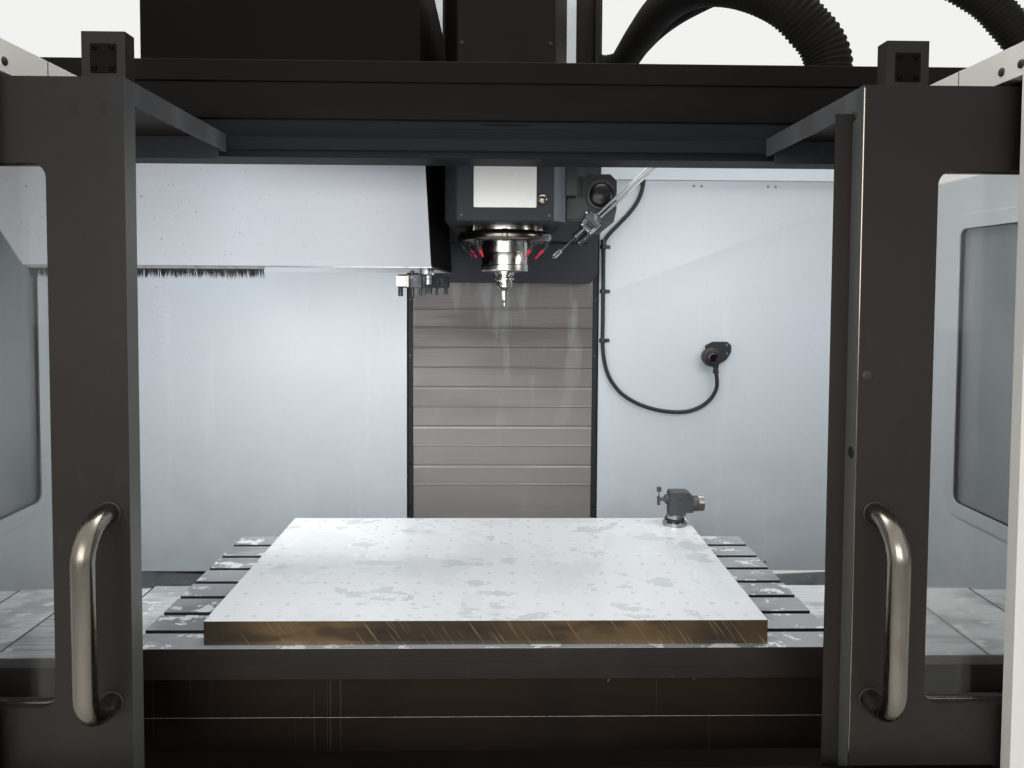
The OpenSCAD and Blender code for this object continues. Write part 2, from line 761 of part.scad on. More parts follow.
module door_window(side) {
    edge = side < 0 ? -left_edge : right_edge;
    color("#b9c7cc") mirror([side < 0 ? 1 : 0, 0, 0])
        door_window_outline(edge, door_y + door_t / 2 - 3, 6, 0);
}

module left_window() {
    door_window(-1);
}

module right_window() {
    door_window(1);
}

// Tubular pull handle with large bends
module handle(side) {
    bend = handle_bend;
    edge = side < 0 ? -left_edge : right_edge;
    x = edge + handle_in;
    y = door_y - handle_reach;
    half = handle_h / 2 - handle_d / 2;
    color("#c5c8c9") mirror([side < 0 ? 1 : 0, 0, 0]) {
        rod_z(x, y, handle_z - half + bend, handle_z + half - bend, handle_d);
        for (up = [-1, 1]) {
            translate([x, y + bend, handle_z + up * (half - bend)]) rotate([90, 0, 90])
                rotate([0, 0, up > 0 ? 90 : 180]) rotate_extrude(angle = 90) translate([bend, 0]) circle(d = handle_d);
            rod_y(x, y + bend, door_y, handle_z + up * half, handle_d);
        }
    }
}

module left_handle() {
    handle(-1);
}

module right_handle() {
    handle(1);
}

// Probe receiver and its armoured conduit on the back wall

receiver_x = 924;
receiver_z = 1412;
conduit_r = 9;
conduit_y = wall_y - 14;
gland_x = receiver_x + 21;
gland_y = wall_y - 52;
gland_z = receiver_z - 50;
conduit_path = [[617, conduit_y, channel_z - 0.2], [617, conduit_y, 2165], [606, conduit_y, 2124], [586, conduit_y, 2085],
    [553, conduit_y, 2042], [518, conduit_y, 2005], [486, conduit_y, 1972], [461, conduit_y, 1943],
    [449, conduit_y, 1922], [446, conduit_y, 1910], [446, conduit_y, 1800], [446, conduit_y, 1720],
    [446, conduit_y, 1640], [446, conduit_y, 1560], [446, conduit_y, 1460], [456, conduit_y, 1380],
    [480, conduit_y, 1310], [530, conduit_y, 1245], [600, conduit_y, 1200], [680, conduit_y, 1172],
    [760, conduit_y, 1160], [830, conduit_y - 2, 1163], [890, conduit_y - 8, 1186], [932, conduit_y - 18, 1225],
    [952, conduit_y - 28, 1270], [952, conduit_y - 35, 1310], [gland_x + 2, gland_y, 1340],
    [gland_x, gland_y, gland_z - 10], [gland_x, gland_y, gland_z]];

module probe_receiver() {
    color("#2e3134") {
        difference() {
            box(receiver_x - 20, receiver_x + 96, wall_y - 30, wall_y - 24, receiver_z - 40, receiver_z + 66);
            translate([receiver_x + 110, wall_y - 31, receiver_z - 70]) rotate([0, -45, 0]) cube([90, 20, 90]);
        }
        for (z = [receiver_z - 5, receiver_z + 45]) rod_y(receiver_x + 20, wall_y - 25, wall_y, z, 14);
        rod_y(receiver_x, wall_y - 78, wall_y - 29, receiver_z, 82);
        rod_y(receiver_x, wall_y - 84, wall_y - 77, receiver_z, 60);
        rod_z(gland_x, gland_y, gland_z, receiver_z - 20, 24);
    }
}

module receiver_conduit() {
    color("#26282a") {
        tube_along(conduit_path, conduit_r, 10);
    }
}

// Cable ducts that arch from the column to the header
duct_r = 62;
duct_x = 871;
duct_y = -696;
duct_path = [[duct_x, duct_y, 2276.2], [duct_x, duct_y, 2327], [855, duct_y + 2, 2375], [822, duct_y + 6, 2420],
    [752, duct_y + 22, 2495], [660, duct_y + 110, 2575], [590, duct_y + 300, 2650], [556, duct_y + 600, 2705],
    [546, duct_y + 900, 2725], [544, duct_y + 1150, 2736], [542, 600, 2740], [533, 650, 2740], [510, 685, 2740],
    [476, 700, 2740], [column_x + 0.2, 700, 2740]];
hose_r = 44;
hose_x = 1330;
hose_path = [[hose_x, header_y + 60, 2259.2], [hose_x, header_y + 60, 2290], [hose_x - 8, header_y + 62, 2330],
    [1270, header_y + 68, 2400], [1206, header_y + 80, 2466], [1090, header_y + 140, 2556], [930, header_y + 300, 2640],
    [770, -300, 2712], [680, 0, 2756], [630, 300, 2786], [606, 600, 2800], [600, 760, 2806], [584, 820, 2806],
    [540, 864, 2806], [490, 880, 2806], [column_x + 0.2, 880, 2806]];

module cable_ducts() {
    color("#1d1e20") {
        tube_along(duct_path, duct_r, 8, [1, 0.2, 0.1]);
        box(duct_x - 75, duct_x + 75, header_y + 120.2, duct_y + 70, 2262, 2276);
        tube_along(hose_path, hose_r, 8, [1, 0.2, 0.1]);
    }
}

// Cabinet, pendant and coolant tank

module cabinet() {
    color("#d6d7d5") {
        difference() {
            box(-700, 700, column_back, back_y - 45, 540, 2250);
            box(-660, 660, column_back + 30, back_y - 40, 580, 2210);
        }
        box(-620, 620, column_back + 29, column_back + 38, 600, 2150);
        box(-500, -200, column_back + 37, column_back + 200, 1500, 2000);
        box(-100, 200, column_back + 37, column_back + 180, 1500, 2000);
        box(300, 560, column_back + 37, column_back + 160, 1400, 2000);
        for (z = [800, 1050, 1250]) box(-560, 560, column_back + 37, column_back + 100, z, z + 90);
        for (z = [800, 1400, 2000]) {
            rod_z(hinge_x, hinge_y, z - 40, z - 0.5, hinge_d);
            box(hinge_x - hinge_d / 2, -699, back_y - 120, hinge_y, z - 40, z - 0.5);
        }
    }
}

module cabinet_door() {
    color("#dcdddc") {
        box(-690, 690, back_y - 45 + run_gap, back_y - 22, 550, 2240);
        rod_y(620, back_y - 23, back_y - 8, 1400, 40);
        for (z = [800, 1400, 2000]) {
            rod_z(hinge_x, hinge_y, z, z + 40, hinge_d);
            box(hinge_x, -640, back_y - 22.5, back_y - 18, z, z + 40);
        }
        box(606, 634, back_y - 9, back_y, 1300, 1420);
    }
}

hinge_x = -697;
hinge_y = back_y - 18;
hinge_d = 14;

pendant_x = 1710;
pendant_mid = pendant_x - 175;
pendant_y0 = front_y + 24;
knob_x = pendant_mid + 140;
pivot_y = panel_y - 66;

module pendant_arm() {
    color("#3b3e41") {
        box(pendant_x - 60, pendant_x + 60, panel_y - 14, panel_y, 1780, 1900);
        box(pendant_x - 30, pendant_x + 30, pivot_y, panel_y - 13, 1800, 1880);
        rod_z(pendant_x, pivot_y, 1740, 1880, 60);
    }
}

module pendant() {
    y0 = pendant_y0;
    color("#34373a") {
        rod_z(pendant_x, pivot_y, 1640, 1740 - run_gap, 60);
        difference() {
            box(pendant_mid - 225, pendant_mid + 225, y0, panel_y - 35, 1100, 1641);
            box(pendant_mid - 205, pendant_mid + 75, y0 - 1, y0 + 6, 1380, 1600);
            rod_y(knob_x, y0 - 1, y0 + 31, 1520, 30);
            rod_y(knob_x, y0 - 1, y0 + 31, 1420, 12);
        }
        for (i = [0:8], j = [0:4]) {
            x = pendant_mid - 205 + i * 32;
            box(x, x + 24, y0 - 4, y0 + 1, 1140 + j * 42, 1168 + j * 42);
        }
    }
    color("#101418") box(pendant_mid - 204, pendant_mid + 74, y0 + 2, y0 + 7, 1381, 1599);
}

module stop_button() {
    color("crimson") {
        rod_y(knob_x, pendant_y0 - 24, pendant_y0 - 8, 1520, 44);
        rod_y(knob_x, pendant_y0 - 9, pendant_y0 + 16, 1520, 30 - 4 * fit_gap);
    }
}

module jog_dial() {
    color("#202224") {
        rod_y(knob_x, pendant_y0 - 16, pendant_y0 - run_gap, 1420, 62);
        rod_y(knob_x, pendant_y0 - 1, pendant_y0 + 24, 1420, 12 - 2 * fit_gap);
        rod_y(knob_x + 18, pendant_y0 - 24, pendant_y0 - 15, 1420, 12);
    }
}

module coolant_tank() {
    color("#8b9094") {
        difference() {
            box(-1790, -720, 640, column_back + 300, 0, 520);
            box(-1750, -760, 680, column_back + 260, 30, 521);
        }
        box(-1790, -720, 640, column_back - 50, 519, 526);
        for (x = [-1550, -1250, -950]) {
            rod_z(x, 900, 525, 800, 150);
            box(x - 60, x + 60, 850, 950, 799, 850);
        }
        rod_x(-950, -column_x, 900, 760, 40);
    }
}

base();
y_rails();
saddle();
x_rails();
table();
fixture_plate();
tool_setter();
x_cover(0);  // x_cover_0
x_cover(1);  // x_cover_1
x_cover(2);  // x_cover_2
x_cover(3);  // x_cover_3
x_cover(4);  // x_cover_4
y_cover(0);  // y_cover_0
y_cover(1);  // y_cover_1
y_cover(2);  // y_cover_2
y_cover(3);  // y_cover_3
column();
z_rails();
z_cover(0);  // z_cover_0
z_cover(1);  // z_cover_1
z_cover(2);  // z_cover_2
z_cover(3);  // z_cover_3
z_cover(4);  // z_cover_4
z_cover(5);  // z_cover_5
head();
spindle_housing();
spindle();
tool();
spindle_motor();
coolant_ring();
spigot_drive();
spigot();
changer_cover();
changer_drive();
carousel();
arm_shaft();
changer_arm();
side_walls();
back_wall();
front_panels();
header();
work_lights();
chip_trays();
auger();
left_door();
left_window();
left_handle();
right_door();
right_window();
right_handle();
probe_receiver();
receiver_conduit();
cable_ducts();
cabinet();
cabinet_door();
pendant_arm();
pendant();
stop_button();
jog_dial();
coolant_tank();
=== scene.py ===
import json
import math

import bmesh
import bpy
import numpy as np
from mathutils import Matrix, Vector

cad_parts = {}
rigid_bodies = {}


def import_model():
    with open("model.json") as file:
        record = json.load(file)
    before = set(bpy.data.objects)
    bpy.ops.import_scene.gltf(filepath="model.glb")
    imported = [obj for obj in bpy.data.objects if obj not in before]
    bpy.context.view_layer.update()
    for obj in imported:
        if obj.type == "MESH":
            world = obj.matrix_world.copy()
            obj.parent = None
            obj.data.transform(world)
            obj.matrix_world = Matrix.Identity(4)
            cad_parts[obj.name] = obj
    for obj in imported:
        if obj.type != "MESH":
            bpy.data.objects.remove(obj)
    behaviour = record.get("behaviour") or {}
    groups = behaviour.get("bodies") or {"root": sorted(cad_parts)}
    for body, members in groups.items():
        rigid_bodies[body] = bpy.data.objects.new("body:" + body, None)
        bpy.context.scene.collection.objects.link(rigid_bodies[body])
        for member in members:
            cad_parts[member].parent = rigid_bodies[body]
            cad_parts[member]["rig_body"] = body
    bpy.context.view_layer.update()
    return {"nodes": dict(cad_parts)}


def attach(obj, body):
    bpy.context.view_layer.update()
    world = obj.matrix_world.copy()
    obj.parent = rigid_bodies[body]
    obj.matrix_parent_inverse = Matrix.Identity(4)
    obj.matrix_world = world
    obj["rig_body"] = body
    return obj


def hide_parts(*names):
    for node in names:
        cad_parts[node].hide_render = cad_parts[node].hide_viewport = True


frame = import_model()
nodes = frame["nodes"]
bodyOf = {name: node["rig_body"] for name, node in nodes.items()}
print("frame loaded,", len(nodes), "nodes")


def linear(hexColour):  # sRGB hex to linear RGBA
    channels = np.array([int(hexColour[i : i + 2], 16) for i in (1, 3, 5)]) / 255
    low, high = channels / 12.92, ((channels + 0.055) / 1.055) ** 2.4
    return (*np.where(channels <= 0.04045, low, high).tolist(), 1.0)


def addNode(tree, kind, inputs=None, **settings):  # a socket as a value is linked, anything else is set
    node = tree.nodes.new(kind)
    for key, value in settings.items():
        setattr(node, key, value)
    for key, value in (inputs or {}).items():
        if isinstance(value, bpy.types.NodeSocket):
            tree.links.new(value, node.inputs[key])
        else:
            node.inputs[key].default_value = value
    return node


# Finishes. A layer is a pattern of so many cycles per metre along X, Y and Z, cut to a range, that tints by an
# amount, dulls (rough) or raises (bump, in mm) the surface. "up" keeps it to faces that look up, or with -1 to
# upright ones. "fade" is an axis with two places along it in metres, between which the layer grows from nothing
# to full, and "turn" turns the pattern about Y by so many degrees.


def pattern(cycles, detail, cut, tint=None, amount=1.0, rough=0.0, **more):
    cycles = (cycles,) * 3 if np.isscalar(cycles) else cycles
    effects = {"tint": tint, "amount": amount, "rough": rough, **more}
    return {"cycles": cycles, "detail": detail, "cut": cut, **{key: value for key, value in effects.items()
        if value}}


def grain(cycles, bump):  # an even, fine unevenness
    return pattern(cycles, 1.0, (0.3, 0.7), bump=bump)


def shade(tint, amount=1.0, **more):  # all of the surface, as noise never falls below this cut
    return pattern(1, 3.0, (-1.0, -0.5), tint, amount, **more)


def layerMask(tree, coords, layer):
    # how much of the layer lies at a point: noise between its cuts, times the shares of facing and of fade
    source = coords.outputs["Object"]
    if "turn" in layer:
        source = addNode(tree, "ShaderNodeVectorRotate", {"Vector": source,
            "Angle": math.radians(layer["turn"])}, rotation_type="Y_AXIS").outputs[0]
    scaled = addNode(tree, "ShaderNodeMapping", {"Vector": source, "Scale": layer["cycles"]})
    noise = addNode(tree, "ShaderNodeTexNoise", {"Vector": scaled.outputs[0], "Scale": 1.0,
        "Detail": layer["detail"], "Roughness": layer.get("grit", 0.5)})
    low, high = layer["cut"]
    mask = addNode(tree, "ShaderNodeMapRange", {0: noise.outputs[0], 1: low, 2: high, 3: 0.0, 4: 1.0},
        interpolation_type="SMOOTHSTEP").outputs[0]
    if "up" in layer:
        normal = addNode(tree, "ShaderNodeNewGeometry")
        height = addNode(tree, "ShaderNodeSeparateXYZ", {0: normal.outputs["Normal"]}).outputs[2]
        ends = (0.3, 0.8) if layer["up"] > 0 else (0.8, 0.3)
        facing = addNode(tree, "ShaderNodeMapRange", {0: height, 1: ends[0], 2: ends[1], 3: 0.0, 4: 1.0})
        mask = addNode(tree, "ShaderNodeMath", {0: mask, 1: facing.outputs[0]},
            operation="MULTIPLY").outputs[0]
    if "fade" in layer:
        axis, start, end = layer["fade"]
        place = addNode(tree, "ShaderNodeSeparateXYZ",
            {0: coords.outputs["Object"]}).outputs["XYZ".index(axis)]
        share = addNode(tree, "ShaderNodeMapRange", {0: place, 1: start, 2: end, 3: 0.0, 4: 1.0})
        mask = addNode(tree, "ShaderNodeMath", {0: mask, 1: share.outputs[0]}, operation="MULTIPLY").outputs[0]
    return mask


def makeFinish(name, colour, rough, metal=0.0, layers=(), **shader):
    # each layer mixes the colour towards its tint by mask x amount, and adds mask x its value to the rest
    material = bpy.data.materials.new(name)
    material.use_nodes = True
    material.diffuse_color = linear(colour)
    tree = material.node_tree
    tree.nodes.clear()
    coords = addNode(tree, "ShaderNodeTexCoord")
    tint, dull, height = None, None, None
    for layer in layers:
        mask = layerMask(tree, coords, layer)
        if "tint" in layer:
            part = addNode(tree, "ShaderNodeMath", {0: mask, 1: layer["amount"]}, operation="MULTIPLY")
            mix = addNode(tree, "ShaderNodeMix", {0: part.outputs[0], 6: tint or linear(colour),
                7: linear(layer["tint"])}, data_type="RGBA")
            tint = mix.outputs[2]
        if "rough" in layer:
            dull = addNode(tree, "ShaderNodeMath", {0: mask, 1: layer["rough"], 2: rough
                if dull is None else dull}, operation="MULTIPLY_ADD", use_clamp=True).outputs[0]
        if "bump" in layer:
            height = addNode(tree, "ShaderNodeMath", {0: mask, 1: layer["bump"] / 1000, 2: height or 0.0},
                operation="MULTIPLY_ADD").outputs[0]
    principled = addNode(tree, "ShaderNodeBsdfPrincipled", {"Base Color": tint or linear(colour),
        "Roughness": rough if dull is None else dull, "Metallic": metal})
    for key, value in shader.items():
        principled.inputs[key.replace("_", " ")].default_value = value
    if height:
        bump = addNode(tree, "ShaderNodeBump", {"Height": height, "Distance": 1.0, "Strength": 1.0})
        tree.links.new(bump.outputs[0], principled.inputs["Normal"])
    output = addNode(tree, "ShaderNodeOutputMaterial")
    tree.links.new(principled.outputs[0], output.inputs[0])
    finishes[name] = material
    return material


finishes = {}
# Stove enamel sprayed over sheet steel: a dark satin coat with fine orange peel and rub marks, and painted
# shade high up
makeFinish("charcoalEnamel", "#2b2622", 0.45, Specular_IOR_Level=0.2, layers=[
    grain(260, 0.05), pattern((5, 5, 1.6), 3, (0.45, 0.75), "#332e2a", 0.5, 0.12),
    pattern((38, 38, 20), 5, (0.6, 0.74), "#38332f", 0.3, 0.1), shade("#14110e", 0.75, fade=("Z", 1.6, 2))])
# The same coat on the beams, darker, and cooler on their lower faces
makeFinish("slateEnamel", "#13100e", 0.48, Specular_IOR_Level=0.05, layers=[
    grain(260, 0.05), pattern((3, 3, 9), 3, (0.45, 0.75), "#1e1b19", 0.5, 0.1),
    shade("#1c2024", 0.9, fade=("Z", 2.125, 2.115))])
# Textured two-pack paint on machined castings: a fine leather grain
makeFinish("castingPaint", "#3c3f42", 0.46, layers=[
    grain(420, 0.09), pattern((7, 7, 2.2), 3, (0.45, 0.75), "#4a4e52", 0.4, 0.1),
    pattern(60, 5, (0.62, 0.76), "#5c5f60", 0.3)])
# Pale enamel in the work space, filmed with dried coolant that ran down and dried in spots
makeFinish("paleEnamel", "#c9d0d6", 0.36, layers=[
    pattern((1.3, 1.3, 1.1), 4, (0.35, 0.75), "#bfc6c8", 0.4, 0.15),
    pattern((16, 16, 1.5), 4, (0.52, 0.8), "#dde3e6", 0.3, 0.15),
    pattern((90, 90, 40), 6, (0.64, 0.74), "#a6b0b4", 0.25, 0.2),
    pattern((4, 4, 5), 5, (0.4, 0.66), "#a3abae", 0.3, 0.2, fade=("Z", 1.15, 0.45)), grain(240, 0.04)])
# White enamel, splashed less: a few dark specks, and painted shade low down and to the right
makeFinish("whiteEnamel", "#dde1ea", 0.4, layers=[
    pattern(120, 1, (0.745, 0.76), "#4f5357", 0.6),
    pattern((2.2, 2.2, 1.4), 4, (0.4, 0.8), "#d4dbe1", 0.5, 0.12),
    pattern((120, 120, 50), 6, (0.66, 0.76), "#aab2b8", 0.35), grain(240, 0.04),
    shade("#8d9197", 0.25, fade=("Z", 2, 1.8)), shade("#8f9399", 0.9, fade=("X", -0.75, -0.25))])
# Warm white powder coat outside
makeFinish("creamEnamel", "#e6e4dd", 0.4, layers=[
    pattern((2, 2, 1.2), 4, (0.45, 0.8), "#d3d0c8", 0.5, 0.1), grain(260, 0.06)])
# The casting paint again, with painted shade that turns it black above the roof's height
makeFinish("headPaint", "#2f3134", 0.48, Specular_IOR_Level=0.1, layers=[
    grain(420, 0.09), pattern((7, 7, 2.2), 3, (0.45, 0.75), "#3a3d40", 0.4, 0.1),
    shade("#0f0b08", fade=("Z", 2.22, 2.34))])
# The head's right flank in a lighter, bluer paint, with the same painted shade above the roof's height
makeFinish("headSide", "#565b62", 0.42, Specular_IOR_Level=0.3, layers=[
    grain(420, 0.06), pattern((9, 9, 5), 4, (0.45, 0.75), "#494e54", 0.6, 0.1),
    shade("#0f0b08", fade=("Z", 2.22, 2.34))])
# The doors' enamel on edges that face the work space, painted lighter where the work lights catch it, and
# darker and cooler high up
makeFinish("edgeEnamel", "#5a5b56", 0.4, layers=[
    shade("#3c3f43", 0.8, fade=("Z", 1.9, 2.05)), grain(260, 0.05),
    pattern((12, 12, 2), 4, (0.45, 0.75), "#5a5d5f", 0.5, 0.1)])
# Satin black paint, also laid on as painted shade above the roof and on faces that lie in deep shade
makeFinish("blackPaint", "#0e0a06", 0.5, Specular_IOR_Level=0.05, layers=[
    pattern((3, 3, 2), 3, (0.45, 0.8), "#1a1511", 0.6, 0.1)])
# Cold-rolled sheet with ribs pressed into it along X, wet in places, and painted shade on its upright faces
makeFinish("ribbedSteel", "#c8cdcf", 0.34, metal=0.3, layers=[
    pattern((3, 90, 90), 3, (0.4, 0.7), "#7d8384", 0.7, 0.1),
    pattern((14, 22, 14), 5, (0.6, 0.64), "#e3e7e7", 0.8, -0.1), shade("#40454d", 0.9, up=-1)])
# Cold-rolled sheet beside the table, bright and wet on top, with painted shade on its skirt
makeFinish("wetSteel", "#dadee0", 0.34, metal=0.15, layers=[
    pattern((3, 160, 160), 2, (0.3, 0.7), "#b6bbbb", 0.6, 0.08, bump=0.02),
    pattern((6, 9, 6), 5, (0.45, 0.65), "#7f8485", 0.6, 0.12),
    pattern((16, 26, 16), 5, (0.57, 0.6), "#e6eaea", 0.85, -0.1, grit=0.65), shade("#40454d", 0.9, up=-1)])
# Cold-rolled sheet, brushed along its width, with dried coolant and rubbed streaks from the scrapers, and
# painted light that makes it lighter low down
makeFinish("coverSteel", "#524f4e", 0.46, metal=0.5, layers=[
    pattern((3, 200, 420), 2, (0.3, 0.7), "#696664", 0.6, 0.06, bump=0.03),
    pattern((2.4, 6, 7), 5, (0.45, 0.7), "#575451", 0.4, 0.12),
    pattern((12, 12, 2.5), 5, (0.55, 0.72), "#9fa2a2", 0.35, 0.12),
    pattern((5, 9, 34), 6, (0.6, 0.72), "#63594d", 0.3, 0.1), shade("#a5a2a0", 0.7, fade=("Z", 1.5, 1))])
# Ground cast iron: fine marks along the table, puddles of coolant on top, upright faces gone dark
makeFinish("groundIron", "#a4a7ab", 0.38, metal=0.3, layers=[
    pattern((4, 330, 330), 2, (0.3, 0.7), "#979b9c", 0.5, 0.08, bump=0.02),
    pattern((5, 7, 7), 5, (0.46, 0.66), "#6b6e70", 0.6, 0.12),
    pattern((11, 17, 11), 5, (0.565, 0.575), "#dfe3e3", 1, -0.1, grit=0.65, bump=0.3, up=1),
    shade("#332e29", rough=0.1, up=-1), pattern((30, 30, 14), 4, (0.68, 0.74), "#454039", 0.4, up=-1)])
# The saddle's paint, very dark with darker patches, with coolant run down in thin drips and a few splashes
makeFinish("apronPaint", "#332a23", 0.45, Specular_IOR_Level=0.25, layers=[
    pattern((3, 3, 2), 3, (0.45, 0.75), "#1a1715", 0.8, 0.08),
    pattern((170, 170, 0.7), 1, (0.735, 0.75), "#6a625a", 0.5),
    pattern((45, 45, 22), 2, (0.755, 0.77), "#8d8983", 0.6), grain(420, 0.06)])
# Cast aluminium tooling plate: the top is milled and lies under a thin milky film of coolant with puddles,
# the edges are as the saw left them, gone brown, with the saw's slanted marks
makeFinish("toolingPlate", "#dcdfe1", 0.3, IOR=1.45, Coat_Weight=0.25, Coat_Roughness=0.08, layers=[
    pattern(5, 4, (0.46, 0.66), "#d2d7d8", 0.7, -0.12, up=1),
    pattern((8, 12, 8), 5, (0.6, 0.61), "#bdc3c3", 0.7, -0.14, grit=0.6, bump=0.4, up=1),
    pattern(60, 4, (0.66, 0.72), "#9fa6a6", 0.3, up=1), shade("#3d352a", rough=0.12, up=-1),
    pattern(2.6, 2, (0.38, 0.62), "#6d583d", 0.85, up=-1),
    pattern((9, 9, 30), 5, (0.5, 0.66), "#2c2620", 0.6, up=-1),
    pattern((260, 1, 7), 1.5, (0.6, 0.68), "#99805a", 0.55, bump=0.1, turn=36, up=-1)])
# Turned and ground steel on spindle parts: near mirror, with fine rings
makeFinish("turnedSteel", "#b4b2ae", 0.14, metal=1, layers=[
    pattern((6, 6, 900), 2, (0.3, 0.7), rough=0.1, bump=0.006),
    pattern(26, 4, (0.58, 0.74), "#9fa2a2", 0.5, 0.12)])
# Stainless tube, satin ground with a belt and polished by use
makeFinish("satinStainless", "#8a847b", 0.18, metal=1, layers=[
    pattern((500, 500, 14), 2, (0.3, 0.7), rough=0.1, bump=0.006),
    pattern((16, 16, 9), 4, (0.5, 0.75), "#6f675d", 0.6, 0.08)])
# Bent tube, tinted dark brown with darker blotches: a painted reflection of the dark brown around it
makeFinish("ringSteel", "#77726b", 0.22, metal=1, layers=[pattern(14, 4, (0.45, 0.7), "#4f4840", 0.7, 0.15)])
# Darkened steel blocks of the spigot, worn at the edges
makeFinish("spigotSteel", "#5b5c5d", 0.3, metal=0.9, layers=[pattern(30, 4, (0.45, 0.7), "#3a3a3b", 0.7, 0.1)])
# Anodised drive housing, dark grey
makeFinish("driveGrey", "#26282b", 0.4, Specular_IOR_Level=0.3, layers=[
    pattern(12, 4, (0.45, 0.75), "#34373b", 0.5, 0.1)])
# The doors' enamel where the work lights reach it
makeFinish("foldEnamel", "#3a3d43", 0.45, Specular_IOR_Level=0.3, layers=[
    pattern(20, 4, (0.5, 0.75), "#484b51", 0.5, 0.1)])
# Ground rails and shafts with an oil film
makeFinish("guideSteel", "#b3b6b8", 0.22, metal=1, layers=[pattern(14, 4, (0.45, 0.7), "#8d9092", 0.6, 0.12)])
# Blackened steel: dark, faintly blue, worn bright here and there
makeFinish("blackenedSteel", "#33363a", 0.36, metal=0.7, layers=[
    pattern(60, 5, (0.56, 0.72), "#8a8d8f", 0.6, 0.1), grain(300, 0.02)])
# Hard-anodised and nickel-plated small parts
makeFinish("platedMetal", "#9c9fa0", 0.28, metal=1, layers=[pattern(40, 5, (0.5, 0.7), "#6d6f70", 0.6, 0.15)])
# Moulded black polyamide
makeFinish("blackPolyamide", "#1c1d1f", 0.48, IOR=1.53, layers=[
    grain(350, 0.03), pattern(20, 4, (0.5, 0.75), "#303236", 0.5, 0.1)])
# Corrugated polyamide hose, dull black with shop dust
makeFinish("ductPlastic", "#14110e", 0.78, Specular_IOR_Level=0.15, layers=[
    pattern(9, 4, (0.5, 0.75), "#1f1b17", 0.6, 0.1)])
# Smooth moulded cap, a soft sheen
makeFinish("domePlastic", "#0d0d0e", 0.3, IOR=1.45, layers=[pattern(40, 3, (0.5, 0.75), "#1b1b1c", 0.4, 0.15)])
# Glossy moulded ring
makeFinish("yellowPlastic", "#d8b21c", 0.35, IOR=1.48, layers=[
    pattern(60, 4, (0.5, 0.75), "#b8960f", 0.4, 0.1)])
# Extruded nitrile rubber
makeFinish("blackRubber", "#17171a", 0.58, IOR=1.52, layers=[pattern(30, 4, (0.5, 0.75), "#2b2b2e", 0.6, 0.1)])
# Red acetal of the nozzle tips and the stop button
makeFinish("redAcetal", "#c21532", 0.32, IOR=1.48, layers=[pattern(200, 2, (0.55, 0.75), "#8e1020", 0.5, 0.1)])
# Polycarbonate sheet with a washed, faintly milky film
makeFinish("clearSheet", "#dad9d6", 0.02, IOR=1.45, Transmission_Weight=1, layers=[
    pattern(3, 4, (0.4, 0.8), rough=0.05)])
# Smoked safety glass in the side windows
makeFinish("darkGlass", "#93999d", 0.1, IOR=1.52, layers=[
    pattern((2.2, 2.2, 1.1), 4, (0.4, 0.75), "#5f6a71", 0.7, 0.12)])
# Frosted lens over the lamps
makeFinish("frostedLens", "#eef3f5", 0.5, IOR=1.49, layers=[grain(120, 0.05)])
# Painted sheet in the chip path: chips have scratched the grey paint
makeFinish("trayPaint", "#53575a", 0.5, layers=[
    pattern(9, 6, (0.5, 0.7), "#3b3e40", 0.7, 0.1), pattern((70, 22, 70), 6, (0.62, 0.7), "#8d9193", 0.6)])
# Bare label stock, glossy film over white
makeFinish("bareLabel", "#cfd0cc", 0.25, layers=[pattern(30, 5, (0.6, 0.75), "#c3c4c0", 0.5, 0.15)])
# Black glass of the control screen
makeFinish("screenGlass", "#0c1014", 0.08, IOR=1.52, layers=[pattern(12, 4, (0.5, 0.8), rough=0.12)])
# Pale grey key caps
makeFinish("keyCap", "#c9ccce", 0.4, layers=[pattern(60, 4, (0.5, 0.75), "#a7abad", 0.5, 0.1)])
# Coolant that stands in a hole, clouded with fines
makeFinish("milkyCoolant", "#d3d8d8", 0.12, IOR=1.34, layers=[pattern(40, 3, (0.4, 0.7), "#b9bfbf", 0.6)])
print("finishes made,", len(finishes))


def listed(rows):  # every name in the rows with its row's key
    return {name: key for key, names in rows.items() for name in names.split()}


nodeFinish = listed({"castingPaint": "base changer_drive pendant_arm", "apronPaint": "saddle",
    "headPaint": "column head", "guideSteel": "x_rails y_rails z_rails arm_shaft", "groundIron": "table",
    "toolingPlate": "fixture_plate", "platedMetal": "tool_setter spigot carousel",
    "turnedSteel": "spindle_housing spindle tool", "blackPaint": "spindle_motor",
    "satinStainless": "coolant_ring left_handle right_handle",
    "blackPolyamide": "spigot_drive probe_receiver cable_ducts pendant jog_dial",
    "whiteEnamel": "changer_cover", "blackenedSteel": "changer_arm", "paleEnamel": "side_walls back_wall",
    "creamEnamel": "front_panels cabinet cabinet_door", "slateEnamel": "header", "frostedLens": "work_lights",
    "trayPaint": "chip_trays auger coolant_tank", "charcoalEnamel": "left_door right_door",
    "clearSheet": "left_window right_window", "blackRubber": "receiver_conduit", "redAcetal": "stop_button",
    "coverSteel": " ".join([f"y_cover_{k}" for k in range(4)] + [f"z_cover_{k}" for k in range(6)]),
    "wetSteel": "x_cover_0 x_cover_1 x_cover_3 x_cover_4", "ribbedSteel": "x_cover_2"})
for name, node in nodes.items():
    node.data.materials.clear()
    node.data.materials.append(finishes[nodeFinish[name]])


# Shapes are (points in mm, faces). They are worked out as whole arrays and joined before they become a piece.


def gridFaces(rows, columns, loopRows=False, loopColumns=False):  # quads of a grid, closed where asked
    row = np.arange(rows if loopRows else rows - 1)[:, None]
    column = np.arange(columns if loopColumns else columns - 1)[None, :]
    nextRow, nextColumn = (row + 1) % rows, (column + 1) % columns
    corners = [row * columns + column, row * columns + nextColumn, nextRow * columns + nextColumn,
        nextRow * columns + column]
    return np.stack(np.broadcast_arrays(*corners), -1).reshape(-1, 4).tolist()


def joined(*shapes):  # several shapes as one, their faces counted on
    starts = np.cumsum([0] + [len(points) for points, _ in shapes])
    faces = [[corner + start for corner in face] for (_, part), start in zip(shapes, starts) for face in part]
    return np.concatenate([points for points, _ in shapes]), faces


def turnAngles(count):  # so many angles round a full turn
    return np.linspace(0, 2 * math.pi, count, endpoint=False)


